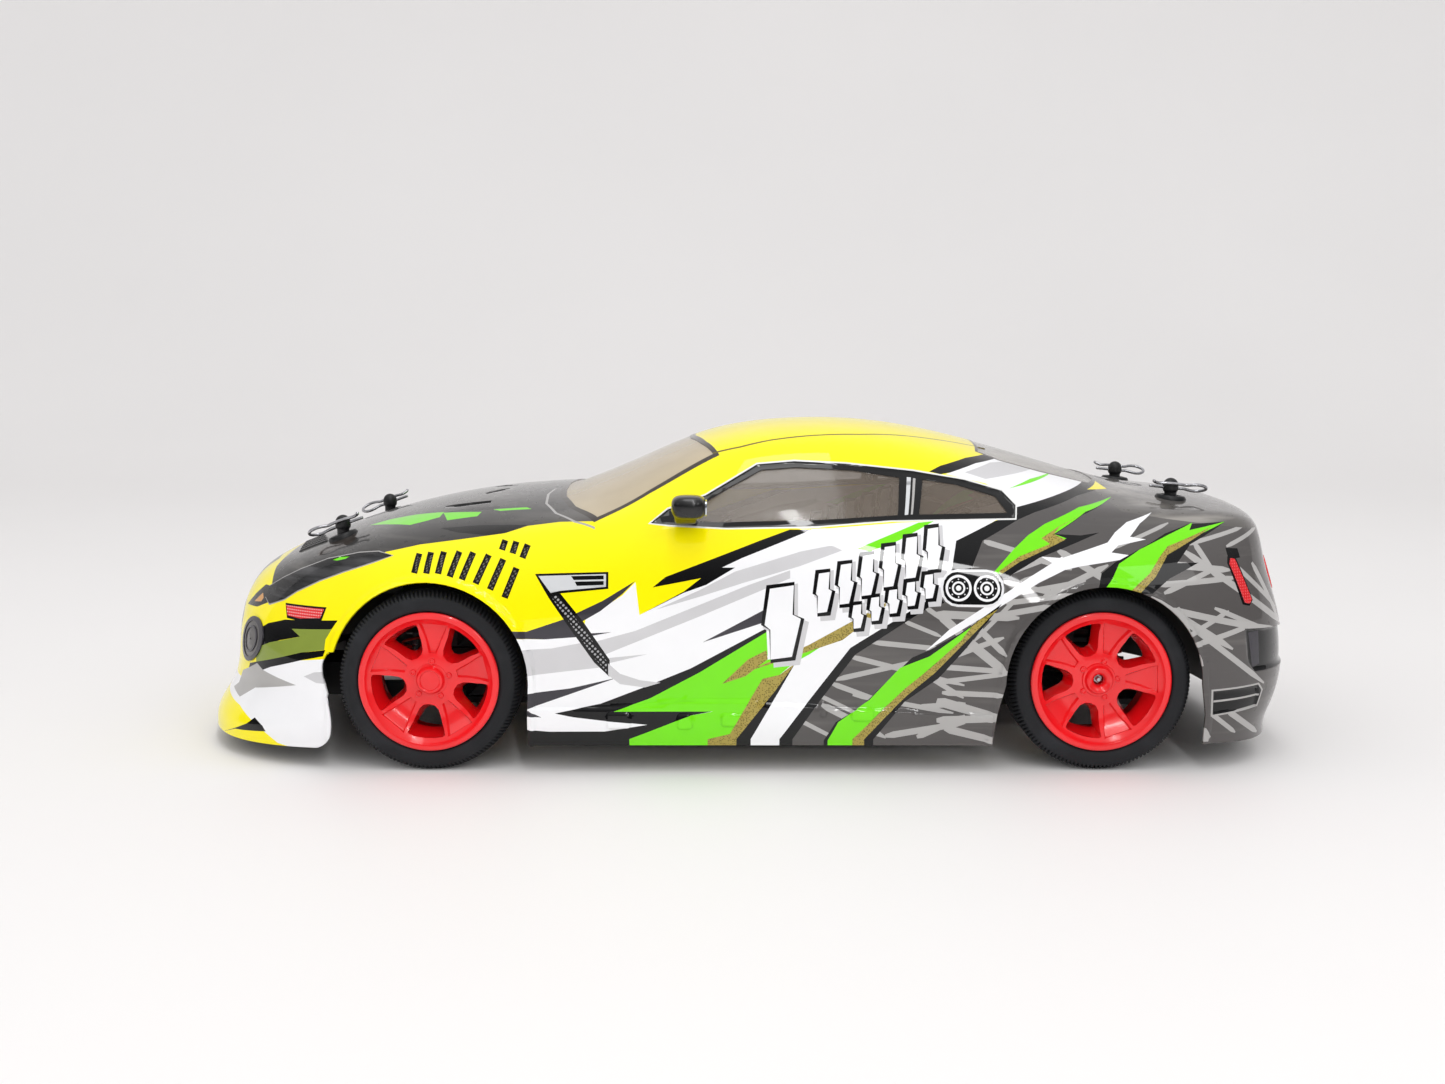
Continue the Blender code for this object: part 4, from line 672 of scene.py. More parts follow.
def reliefs():
    """The parts of the skin that stand proud or lie sunk: view, outline, width of the slope, height."""
    return [
        ("side", SILL, 1.2, 0.9),
        *[("side", grown(arch(axle), 3.4), 1.5, 0.8) for axle in AXLES],
        *[("side", rounded_box(*box, 1.4, 3), 0.8, 0.6) for box in SILL_BLISTERS],
        ("side", rounded_box(*GAUGE_PANEL, GAUGE_PANEL_R), 0.6, 0.5),
        ("side", grown(WINDOW_FRAME, 0.5), 0.8, -0.5),
        ("side", rounded_box(178, 22.6, 199.5, 32, 1.5, 3), 0.8, -0.7),
        ("side", TAIL_PANEL, 0.8, -1.0),
        ("end", rounded_box(-50, 30, 38, 55.5, 4), 1.2, -1.6),
        *[("top", duct, 1.2, -1.2) for duct in DUCTS],
        *[("top", louvre, 0.5, 0.6) for louvre in nose_louvres()],
    ]


def nose_louvres():
    return [bar((14 + 5.2 * k, -189 + 0.9 * k), (16.5 + 5.2 * k, -180 + 1.6 * k), 0.9) for k in range(6)]


BASE_INKS = [
    ("rear", "side", [(139, 107.5), (101.5, 98.5), (82, 87.5), (75, 74.5), (73.5, 68.5), (40, 48.5),
        (13, 13.5), (13, -5), (240, -5), (240, 107.5)]),
    *[("stroke", "side", stroke(*numbers)) for numbers in STROKES],
    ("boot", "side", [(139, 107.5), (146, 99), (162, 96.5), (190, 93), (214, 90), (240, 90), (240, 110)]),
]
LAMP_RINGS = [(8.6, "black"), (7.8, "chrome"), (7.0, "rear_lamp"), (3.2, "black")]
TAIL_INKS = [
    ("black", "side", [(184.4, 82.8), (188, 82.4), (195, 65.8), (193.2, 63.8), (190, 64.6), (184, 80.4)]),
    ("rear_lamp", "side", [(185.5, 82), (187.2, 81.6), (194, 66.2), (193, 64.7), (191, 65.2), (185, 80)]),
    ("silver", "side", [(177.5, 32.6), (199, 33.2), (201.6, 30), (199.6, 23.4), (178, 21.8)]),
    ("black", "side", [(178.3, 31.9), (198.7, 32.5), (200.8, 29.8), (199, 24.1), (178.7, 22.5)]),
    ("silver", "side", [(178.6, 28), (199.8, 28.6), (199.5, 27.8), (178.6, 27.2)]),
    ("black", "end", rounded_box(-30, 58, 30, 74, 2)),
    *[(ink, "tail", circle(x, 72, radius)) for radius, ink in LAMP_RINGS for x in (34, 54)],
    ("silver", "side", [(170, 18.6), (176.1, 17.5), (178.8, 13.6), (177.4, 12), (170, 12)]),
]
# The front bumper's rear edge, beside the wheel.
BUMPER_EDGE = curved([(-161.5, 46), (-164.2, 41), (-163.6, 34), (-161.6, 27), (-160.4, 20), (-160.6, 14.6),
    (-161.8, 11.6), (-164.4, 9.2), (-168, 7.6)])


def livery():
    """Every ink layer from the lowest to the highest."""
    layers = BASE_INKS + FRONT_INKS + REAR_INKS + PILLAR_INKS + shards()
    layers += HOOD_INKS + NOSE_INKS + WINDOW_INKS + TRIM_INKS
    layers += [("black", "top", louvre) for louvre in nose_louvres()]
    layers.append(("screen_edge", "top", rounded_box(49, -172, 63, -157, 3)))
    for a, b in LOUVRES:
        layers.append(("black", "side", bar(a, b, 1.25, 0.2)))
        layers.append(("slot", "side", bar(a, b, 0.85, -0.3)))
    gauge_panel = rounded_box(*GAUGE_PANEL, GAUGE_PANEL_R)
    layers += [("white", "side", gauge_panel), ("black", "side", grown(gauge_panel, -0.9)), *TAIL_INKS]
    layers.append(("hole", "side", [(-150, 46), *BUMPER_EDGE, (-168, -9), (-150, -9)]))
    for axle in AXLES:
        layers.append(("hole", "side", arch(axle)))
        layers.append(("hole", "top", circle(POST_X, POSTS[axle]["y"], POST_HOLE_R, 20)))
    return layers


# ---- the body's outer surface ----
def mesh_object(name, mesh):
    obj = bpy.data.objects.new(name, mesh)
    bpy.context.scene.collection.objects.link(obj)
    return obj


def evaluated_mesh(obj):
    """The object's mesh with its modifiers applied. The object itself is removed."""
    bpy.context.view_layer.update()
    depsgraph = bpy.context.evaluated_depsgraph_get()
    mesh = bpy.data.meshes.new_from_object(obj.evaluated_get(depsgraph), depsgraph=depsgraph)
    bpy.data.objects.remove(obj)
    return mesh


def shell_cage():
    """The whole body's cage: rings round the car below the shoulder, and rows across it above."""
    bm = bmesh.new()
    seen = {}

    def vertex(p):
        key = tuple(p)
        if key not in seen:
            seen[key] = bm.verts.new(p)
        return seen[key]

    rings = list(RINGS.values())
    shoulder = rings[0]
    for side in (1, -1):
        def at(p):
            return vertex((side * p[0] if p[0] else 0, p[1], p[2]))

        for upper, lower in zip(rings, rings[1:]):
            for i in range(len(upper) - 1):
                bm.faces.new([at(upper[i]), at(lower[i]), at(lower[i + 1]), at(upper[i + 1])])
        stations = len(shoulder) - 2 * ACROSS
        rows = [[shoulder[ACROSS - k] for k in range(ACROSS + 1)]]
        rows += [[shoulder[ACROSS + b + 1], *TOP_ROWS[b]] for b in range(stations - 2)]
        rows += [[shoulder[ACROSS + stations - 1 + k] for k in range(ACROSS + 1)]]
        for near, far in zip(rows, rows[1:]):
            for k in range(ACROSS):
                bm.faces.new([at(near[k]), at(far[k]), at(far[k + 1]), at(near[k + 1])])
        crease = bm.edges.layers.float.get("crease_edge") or bm.edges.layers.float.new("crease_edge")
        cowl = rows[COWL_ROW]
        for k in range(ACROSS):
            edge = bm.edges.get((at(cowl[k]), at(cowl[k + 1])))
            edge[crease] = COWL_CREASE
    bmesh.ops.recalc_face_normals(bm, faces=bm.faces)
    return bm


def rounded_surface():
    """The outer surface of the whole body, rounded from its cage."""
    cage = shell_cage()
    mesh = bpy.data.meshes.new("cage")
    cage.to_mesh(mesh)
    cage.free()
    obj = mesh_object("cage", mesh)
    rounding = obj.modifiers.new("rounding", "SUBSURF")
    rounding.levels = rounding.render_levels = SURFACE_LEVEL
    return evaluated_mesh(obj)


# Each view's two drawn axes, then what it can see: the axis, the way along it and the least distance.
VIEWS = {"side": (1, 2, (0, 1, -1.0)), "top": (0, 1, (2, 1, 74.0)), "end": (0, 2, (1, -1, 185.0)),
         "tail": (0, 2, (1, 1, 185.0))}
CELL = 8.0                      # the lookup grid's cell
ON_LINE = 0.02                  # a point this near to a cut lies on it


class Skin:
    """The left half of the outer surface, cut along outlines so that each ink gets faces of its own."""

    def __init__(self, surface):
        self.bm = bmesh.new()
        self.bm.from_mesh(surface)
        bm = self.bm
        self.smooth = bm.verts.layers.float_vector.new("smooth")
        self.origin = bm.faces.layers.int.new("origin")
        for vertex in bm.verts:
            vertex[self.smooth] = vertex.normal
        bmesh.ops.delete(bm, geom=[f for f in bm.faces if f.calc_center_median().x < 0], context="FACES")
        for vertex in bm.verts:
            if abs(vertex.co.x) < 1e-3:
                vertex.co.x = 0
        self.members = []
        self.grids = {view: {} for view in VIEWS}
        centres = np.array([face.calc_center_median() for face in bm.faces])
        seen = {view: view_mask(view, centres) for view in VIEWS}
        for index, face in enumerate(bm.faces):
            face[self.origin] = index
            self.members.append([face])
            for view, (i, j, _) in VIEWS.items():
                if not seen[view][index]:
                    continue
                us, vs = [v.co[i] for v in face.verts], [v.co[j] for v in face.verts]
                for cu in range(int(min(us) // CELL), int(max(us) // CELL) + 1):
                    for cv in range(int(min(vs) // CELL), int(max(vs) // CELL) + 1):
                        self.grids[view].setdefault((cu, cv), []).append(index)

    def crossed(self, face, i, j, a, b):
        """True if the segment from a to b may cross the face as seen in this view."""
        us, vs = [v.co[i] for v in face.verts], [v.co[j] for v in face.verts]
        if max(us) < min(a[0], b[0]) or min(us) > max(a[0], b[0]):
            return False
        if max(vs) < min(a[1], b[1]) or min(vs) > max(a[1], b[1]):
            return False
        du, dv = b[0] - a[0], b[1] - a[1]
        sides = [(u - a[0]) * dv - (v - a[1]) * du for u, v in zip(us, vs)]
        return min(sides) < 0 < max(sides)

    def cut(self, view, outline):
        """Cuts the faces that an outline's sides cross, each within the face it came from."""
        i, j, _ = VIEWS[view]
        grid = self.grids[view]
        for a, b in zip(outline, outline[1:] + outline[:1]):
            length = math.hypot(b[0] - a[0], b[1] - a[1])
            if length < 1e-6:
                continue
            found = set()
            steps = int(length / (CELL * 0.5)) + 1
            for k in range(steps + 1):
                u, v = a[0] + (b[0] - a[0]) * k / steps, a[1] + (b[1] - a[1]) * k / steps
                for cu in (int((u - 0.5) // CELL), int((u + 0.5) // CELL)):
                    for cv in (int((v - 0.5) // CELL), int((v + 0.5) // CELL)):
                        found.update(grid.get((cu, cv), ()))
            geometry = {}
            for index in sorted(found):
                for face in self.members[index]:
                    if self.crossed(face, i, j, a, b):
                        geometry.update(dict.fromkeys([face, *face.edges, *face.verts]))
            if not geometry:
                continue
            point, normal = Vector((0, 0, 0)), Vector((0, 0, 0))
            point[i], point[j] = a
            normal[i], normal[j] = (b[1] - a[1]) / length, -(b[0] - a[0]) / length
            result = bmesh.ops.bisect_plane(self.bm, geom=list(geometry), dist=ON_LINE, plane_co=point,
                                            plane_no=normal)
            for element in result["geom"]:
                if isinstance(element, bmesh.types.BMFace):
                    owner = self.members[element[self.origin]]
                    if element not in owner:
                        owner.append(element)

    def paint(self, layers, base):
        """The ink of each face, by face index, after every outline has been cut."""
        self.bm.faces.index_update()
        faces = list(self.bm.faces)
        centres = np.array([f.calc_center_median() for f in faces])
        inks = np.full(len(faces), base, dtype=object)
        for ink, view, outline in layers:
            i, j, _ = VIEWS[view]
            allowed = view_mask(view, centres)
            inside = allowed & within(outline, centres[:, i], centres[:, j])
            if ink == "stroke":
                inside &= inks == "rear"
            inks[inside] = "silver" if ink == "stroke" else ink
        return faces, inks

    def emboss(self, shapes):
        """Moves the skin in or out inside each shape, and lets its slopes take their own shading."""
        bm = self.bm
        places = np.array([v.co for v in bm.verts])
        height, sloped = np.zeros(len(places)), np.zeros(len(places), bool)
        for view, outline, slope, rise in shapes:
            i, j, _ = VIEWS[view]
            us, vs, allowed = places[:, i], places[:, j], view_mask(view, places)
            top = allowed & within(grown(outline, 0.06 - slope), us, vs)
            height[top] += rise
            flat = within(grown(outline, -0.08 - slope), us, vs)
            sloped |= allowed & within(grown(outline, 0.08), us, vs) & ~flat
        for vertex, rise in zip(bm.verts, height):
            if rise:
                vertex.co += vertex[self.smooth] * rise
        bm.normal_update()
        for vertex, flag in zip(bm.verts, sloped):
            if flag:
                normal = Vector((0, 0, 0))
                for face in vertex.link_faces:
                    normal += face.normal * face.calc_area()
                if on_middle(vertex):
                    normal.x = 0
                if normal.length > 1e-9:
                    vertex[self.smooth] = normal.normalized()


def on_middle(vertex):
    return abs(vertex.co.x) < 1e-6


def view_mask(view, places):
    """Which of the places this view draws on."""
    axis, way, least = VIEWS[view][2]
    return way * places[:, axis] > least


def within(outline, us, vs):
    """Which of the points lie inside the outline."""
    inside = np.zeros(len(us), bool)
    for (u0, v0), (u1, v1) in zip(outline, outline[1:] + outline[:1]):
        if v0 == v1:
            continue
        crosses = (v0 > vs) != (v1 > vs)
        inside ^= crosses & (us < (u1 - u0) * (vs - v0) / (v1 - v0) + u0)
    return inside


# ---- solid pieces from the painted surface ----
def place(point):
    """A drawing point in the model's metres."""
    return (Vector(point) + DRAWING_ZERO) * MM


def finished(name, mesh, body, stands_for=()):
    """Links a mesh that is already in metres, and hangs it on its body."""
    obj = mesh_object(name, mesh)
    if body:
        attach(obj, body)
    if stands_for:
        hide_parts(*stands_for)
    return obj


class Solid:
    """A mesh in the making: points in drawing millimetres, faces with their ink and their corner normals."""

    def __init__(self):
        self.points, self.faces, self.inks, self.normals = [], [], [], []
        self.middle = {}            # points on the middle plane, shared by the two sides

    def add_point(self, p):
        self.points.append(place(p))
        return len(self.points) - 1

    def add_face(self, corners, ink, normals=None):
        self.faces.append(corners)
        self.inks.append(ink)
        self.normals.extend(normals or [Vector((0, 0, 0))] * len(corners))

    def mesh(self, name, looks):
        mesh = bpy.data.meshes.new(name)
        mesh.from_pydata(self.points, [], self.faces)
        used = sorted(set(self.inks))
        for ink in used:
            mesh.materials.append(looks[ink])
        mesh.polygons.foreach_set("material_index", [used.index(ink) for ink in self.inks])
        mesh.polygons.foreach_set("use_smooth", [True] * len(self.faces))
        mesh.normals_split_custom_set([tuple(n) for n in self.normals])
        mesh.update()
        return mesh


def inner_ink(face, ink):
    """The print shows on the inner side round the windows. Lower down the inside is sprayed dark."""
    return ink if face.calc_center_median().z > BELT_Z else "inside"


def sheet(skin, faces, inks, sides, outer=0.0, inner=SHELL_WALL):
    """A closed sheet from painted faces: an outer skin, an inner skin and its cut edges."""
    solid = Solid()
    smooth = skin.smooth
    for side in sides:
        flip = side < 0
        layers = {}

        def corner(vertex, depth):
            key = (vertex.index, depth)
            if key not in layers:
                normal = vertex[smooth].normalized()
                if on_middle(vertex):
                    normal.x = 0
                    normal.normalize()
                    if key in solid.middle:
                        layers[key] = solid.middle[key]
                        return layers[key]
                p = vertex.co + normal * (outer if depth == 0 else -inner)
                index = solid.add_point((side * p.x, p.y, p.z))
                if on_middle(vertex):
                    solid.middle[key] = index
                layers[key] = index
            return layers[key]

        def facing(vertex, sign):
            n = vertex[smooth].normalized() * sign
            return Vector((side * n.x, n.y, n.z))

        chosen = set(faces)
        for face, ink in zip(faces, inks):
            ring = list(face.verts)
            if flip:
                ring = ring[::-1]
            solid.add_face([corner(v, 0) for v in ring], ink, [facing(v, 1) for v in ring])
            back = ring[::-1]
            solid.add_face([corner(v, 1) for v in back], inner_ink(face, ink), [facing(v, -1) for v in back])
            for loop in face.loops:
                edge = loop.edge
                if any(other in chosen for other in edge.link_faces if other is not face):
                    continue
                a, b = loop.vert, loop.link_loop_next.vert
                if on_middle(a) and on_middle(b) and len(sides) == 2:
                    continue
                if flip:
                    a, b = b, a
                solid.add_face([corner(b, 0), corner(a, 0), corner(a, 1), corner(b, 1)], ink)
    return solid


surface = rounded_surface()
skin = Skin(surface)
layers = livery()
raised_shapes = reliefs()
for _, view, outline in layers:
    skin.cut(view, outline)
for view, outline, slope, _ in raised_shapes:
    skin.cut(view, outline)
    skin.cut(view, grown(outline, -slope))
skin_faces, skin_inks = skin.paint(layers, "yellow")
skin.bm.verts.index_update()
skin.emboss(raised_shapes)

whole = bmesh.new()
whole.from_mesh(surface)
surface_tree = BVHTree.FromBMesh(whole)


OUTSIDE = 400                   # a distance beyond any point of the car


def flank_point(y, z, lift):
    """The point of the left flank at this length and height, raised by lift."""
    at, normal, _, _ = surface_tree.ray_cast(Vector((OUTSIDE, y, z)), Vector((-1, 0, 0)))
    return at + normal * lift


def nose_point(x, z, lift):
    at, normal, _, _ = surface_tree.ray_cast(Vector((x, -OUTSIDE, z)), Vector((0, 1, 0)))
    return at + normal * lift


GLASS = {
    "windscreen": ("windscreen", (1, -1), WINDSCREEN_FILM),
    "rear_screen": ("rear_screen", (1, -1), REAR_FILM),
    "front_glass": ("door_glass", None, SIDE_FILM),
    "rear_glass": ("quarter_glass", None, SIDE_FILM),
}
SUNKEN = {
    "slot": ("louvre_inserts", 0.7, 1.3),
    "vent_slot": ("vent_inserts", 0.7, 1.3),
}
RAISED = {
    "reflector": ("side_reflector", 0.5, 1.0),
    "rear_lamp": ("rear_lamp_lens", 0.5, 1.0),
    "lamp_dark": ("headlamp_lens", 0.35, 1.0),
}
LOOKS["vent_slot"] = LOOKS["black"]


def pieces_of_shell():
    """The printed shell, then each pane, insert and lens as a piece of its own."""
    groups = {}
    for face, ink in zip(skin_faces, skin_inks):
        groups.setdefault(ink, []).append(face)
    groups.pop("hole", None)
    apart = {**GLASS, **SUNKEN, **RAISED}
    printed = [(face, ink) for ink, faces in sorted(groups.items()) if ink not in apart for face in faces]
    shell = sheet(skin, [f for f, _ in printed], [i for _, i in printed], (1, -1))
    finished("printed_shell", shell.mesh("printed_shell", LOOKS), "body", ("body_shell",))
    for ink, (name, sides, film) in GLASS.items():
        faces = groups[ink]
        panes = [(name, sides)] if sides else [(f"{word}_{name}", (side,)) for word, side in SIDES.items()]
        for full_name, on in panes:
            pane = sheet(skin, faces, ["pane"] * len(faces), on, outer=-0.35, inner=SHELL_WALL - 0.1)
            finished(full_name, pane.mesh(full_name, {"pane": film, "inside": film}), "body")
    for table in (SUNKEN, RAISED):
        for ink, (name, out, wall) in table.items():
            outer = out if table is RAISED else -out
            for side_name, side in SIDES.items():
                faces = groups[ink]
                solid = sheet(skin, faces, [ink] * len(faces), (side,), outer=outer, inner=wall)
                finished(f"{side_name}_{name}", solid.mesh(name, LOOKS), "body")


pieces_of_shell()


# ---- small shapes ----
def swap(axis, u, v, w):
    """The point with w along axis and u, v along the other two, in X, Y, Z order."""
    return {"X": (w, u, v), "Y": (u, w, v), "Z": (u, v, w)}[axis]


def lofted(sections, closed=False):
    """A tube through rings of points of equal count. It is closed on itself, or capped at both ends."""
    bm = bmesh.new()
    rings = [[bm.verts.new(p) for p in section] for section in sections]
    count = len(rings[0])
    last = len(rings) if closed else len(rings) - 1
    for i in range(last):
        a, b = rings[i], rings[(i + 1) % len(rings)]
        for k in range(count):
            n = (k + 1) % count
            bm.faces.new((a[k], a[n], b[n], b[k]))
    if not closed:
        bm.faces.new(rings[0])
        bm.faces.new(rings[-1])
    bmesh.ops.recalc_face_normals(bm, faces=bm.faces)
    return bm


def turned(profile, axis, centre, segments):
    """A solid of revolution: profile is (radius, distance along axis) from one end to the other."""
    u0, v0 = centre
    sections = []
    for radius, w in profile:
        ring = []
        for k in range(segments):
            angle = 2 * math.pi * (k + 0.5) / segments
            ring.append(swap(axis, u0 + radius * math.cos(angle), v0 + radius * math.sin(angle), w))
        sections.append(ring)
    return lofted(sections)


def ring_of(profile, axis, centre, segments):
    """A closed ring of revolution from a closed profile of (radius, distance along axis)."""
    u0, v0 = centre
    sections = []
    for k in range(segments):
        angle = 2 * math.pi * (k + 0.5) / segments
        c, s = math.cos(angle), math.sin(angle)
        sections.append([swap(axis, u0 + r * c, v0 + r * s, w) for r, w in profile])
    return lofted(sections, closed=True)


def smooth_path(points, steps=6):
    """A Catmull-Rom curve through the points."""
    path = [Vector(p) for p in points]
    padded = [path[0] * 2 - path[1], *path, path[-1] * 2 - path[-2]]
    curve = []
    for a, b, c, d in zip(padded, padded[1:], padded[2:], padded[3:]):
        for k in range(steps):
            curve.append(spline(a, b, c, d, k / steps))
    return curve + [path[-1]]


def wire(path, radius, sides=12):
    """A round wire along a path, with its ends rounded over."""
    path = [Vector(p) for p in path]
    sections = []
    normal = None
    last = len(path) - 1
    for i, p in enumerate(path):
        along = (path[min(i + 1, last)] - path[max(i - 1, 0)]).normalized()
        if normal is None:
            normal = along.orthogonal().normalized()
        normal = (normal - along * normal.dot(along)).normalized()
        other = along.cross(normal)
        for share, push in (((0.45, -0.6), (0.85, -0.3)) if i == 0 else ()):
            sections.append(wire_ring(p + along * push * radius, normal, other, radius * share, sides))
        sections.append(wire_ring(p, normal, other, radius, sides))
        for share, push in (((0.85, 0.3), (0.45, 0.6)) if i == last else ()):
            sections.append(wire_ring(p + along * push * radius, normal, other, radius * share, sides))
    return lofted(sections)


def wire_ring(centre, normal, other, radius, sides):
    return [centre + normal * u + other * v for u, v in circle(0, 0, radius, sides)]


def moved(bm, matrix):
    bmesh.ops.transform(bm, matrix=matrix, verts=bm.verts)
    return bm


def mirrored(bm, side):
    """The same shape on the left (1) or the right (-1) of the car."""
    if side < 0:
        bmesh.ops.scale(bm, vec=(-1, 1, 1), verts=bm.verts)
        bmesh.ops.reverse_faces(bm, faces=bm.faces)
    return bm


def drawn_mesh(name, bm):
    """A mesh in drawing millimetres."""
    mesh = bpy.data.meshes.new(name)
    bm.to_mesh(mesh)
    bm.free()
    return mesh


def combined(base, adds=(), cuts=()):
    """base with adds joined on and cuts taken away, as a bmesh."""
    obj = mesh_object("base", drawn_mesh("base", base))
    helpers = []
    for operation, shapes in (("UNION", adds), ("DIFFERENCE", cuts)):
        for shape in shapes:
            helper = mesh_object("tool", drawn_mesh("tool", shape))
            helpers.append(helper)
            boolean = obj.modifiers.new("boolean", "BOOLEAN")
            boolean.operation = operation
            boolean.object = helper
            boolean.solver = "EXACT"
    mesh = evaluated_mesh(obj)
    for used in helpers:
        bpy.data.objects.remove(used)
    bm = bmesh.new()
    bm.from_mesh(mesh)
    return bm


def piece(name, bm, look, body, stands_for=(), sharp_degrees=40, bevel=0.0):
    """A finished piece from a shape in drawing millimetres."""
    bmesh.ops.translate(bm, vec=DRAWING_ZERO, verts=bm.verts)
    bmesh.ops.scale(bm, vec=(MM, MM, MM), verts=bm.verts)
    mesh = drawn_mesh(name, bm)
    mesh.materials.append(look)
    mesh.shade_smooth()
    mesh.set_sharp_from_angle(angle=math.radians(sharp_degrees))
    obj = finished(name, mesh, body, stands_for)
    if bevel:
        rounded_edges(obj, bevel)
    return obj


def rounded_edges(obj, width_mm, degrees=32):
    """Rounds the sharp edges a little, as a mould or a file would."""
    bevel = obj.modifiers.new("edges", "BEVEL")
    bevel.width = width_mm * MM
    bevel.segments = 2
    bevel.limit_method = "ANGLE"
    bevel.angle_limit = math.radians(degrees)
    bevel.harden_normals = False


# ---- wheels ----
SPOKES = 5
OPENING_FIRST = {"front": 265.0, "rear": 326.0}


def polar(axle, radius, degrees):
    """A point of the wheel's face, (y, z)."""
    angle = math.radians(degrees)
    return (AXLES[axle] + radius * math.cos(angle), AXLE_Z + radius * math.sin(angle))


DISH = [(6, 89.5), (9, 89.3), (12, 88.8), (16, 88.9), (19.5, 89.9), (22, 91.4), (23.7, 92.9)]
OPENING_FRONT = [(10.2, 2.2), (11.8, 3.7), (14, 4.6), (17, 5.6), (19.5, 6.7), (20.9, 7.1), (21.6, 6.3)]
OPENING_BACK = [(12.3, 1.5), (13.4, 2.6), (15.2, 3.6), (17, 4.5), (18.6, 5.3), (19.6, 5.8), (20.1, 5.2)]
PANEL = [(10.4, 1.5), (12, 2.0), (14, 2.6), (17, 3.6), (20, 4.8), (22.2, 5.5)]


def dish_x(radius):
    """How far out the spokes stand at this radius."""
    for (r0, x0), (r1, x1) in zip(DISH, DISH[1:]):
        if radius <= r1:
            return x0 + (x1 - x0) * max(0, radius - r0) / (r1 - r0)
    return DISH[-1][1]


def beside(axle, centre, radius, offset):
    """The (y, z) point at this radius, offset sideways from a spoke's or an opening's middle line."""
    angle = math.radians(centre)
    y = AXLES[axle] + radius * math.cos(angle) - offset * math.sin(angle)
    return (y, AXLE_Z + radius * math.sin(angle) + offset * math.cos(angle))


def opening_ring(axle, centre, stations, x, apex):
    """One opening's outline at depth x: round near the hub, flaring, and concentric with the rim outside."""
    ring = [(x, *beside(axle, centre, apex, 0))]
    ring += [(x, *beside(axle, centre, r, half)) for r, half in stations]
    last_r, last_half = stations[-1]
    bulge = math.hypot(last_r, last_half)
    for share in (0.55, 0.0, -0.55):
        offset = last_half * share
        ring.append((x, *beside(axle, centre, math.sqrt(bulge ** 2 - offset ** 2), offset)))
    ring += [(x, *beside(axle, centre, r, -half)) for r, half in reversed(stations)]
    return ring


def opening_cutter(axle, centre):
    back = opening_ring(axle, centre, OPENING_BACK, 82.5, 11.8)
    front = opening_ring(axle, centre, OPENING_FRONT, 88.6, 9.7)
    out = opening_ring(axle, centre, [(r, half * 1.06) for r, half in OPENING_FRONT], 97.0, 9.5)
    return lofted([[(77.0, y, z) for _, y, z in back], back, front, out])


def panel_cutter(axle, centre):
    """The sunk panel of one spoke: it follows the spoke's dish, a little below it."""
    sections = []
    for r, half in PANEL:
        x = dish_x(r)
        floor, open_end = x - 1.1, 97.0
        corners = [(floor, 0.7 - half), (floor, half - 0.7), (x, half), (open_end, half), (open_end, -half),
                   (x, -half)]
        sections.append([(depth, *beside(axle, centre, r, offset)) for depth, offset in corners])
    return lofted(sections)


def rim_shape(axle):
    y0 = AXLES[axle]
    centre = (y0, AXLE_Z)
    barrel = [(24.5, 67.4), (23.2, 67.4), (22.9, 76.0), (21.6, 80.4), (14.0, 81.0), (6.0, 81.0), *DISH,
              (24.2, 93.6), (24.6, 94.1), (25.2, 94.25), (26.4, 94.25), (26.9, 93.9), (27.0, 93.4),
              (27.0, 92.8), (24.5, 92.8)]
    base = ring_of(barrel, "X", centre, 96)
    cuts = []
    for k in range(SPOKES):
        middle = OPENING_FIRST[axle] + 72 * k
        cuts.append(opening_cutter(axle, middle))
        cuts.append(panel_cutter(axle, middle + 36))
    if axle == "front":
        cap = [(6.6, 78.0), (6.6, 89.0), (6.4, 89.6), (5.6, 89.7), (5.3, 90.0), (5.1, 91.2), (4.8, 91.6),
            (4.3, 91.7), (3.9, 91.5), (3.7, 91.0), (2.0, 91.1), (0.3, 91.1)]
        adds = [turned(cap, "X", centre, 48)]
    else:
        cup = [(2.1, 80.0), (2.1, 90.0), (2.6, 90.9), (3.6, 91.6), (4.4, 91.8), (4.9, 91.5), (5.1, 90.7),
            (5.6, 90.1), (6.3, 90.0), (6.6, 89.4), (6.6, 80.0)]
        plug = [(2.6, 79.5), (2.6, 84.5), (0.3, 84.5)]
        adds = [ring_of(cup, "X", centre, 48), turned(plug, "X", centre, 24)]
    for k in range(SPOKES):
        y, z = polar(axle, 7.3, OPENING_FIRST[axle] + 36 + 72 * k)
        boss = [(1.2, 86.0), (1.2, 90.0), (1.05, 90.3), (0.75, 90.3), (0.55, 89.9), (0.15, 89.9)]
        adds.append(turned(boss, "X", (y, z), 16))
    stub = turned([(3.0, 61.2), (3.0, 80.5)], "X", centre, 24)
    return combined(base, [*adds, stub], cuts)


TYRE_X = 81                     # the tyre's middle plane


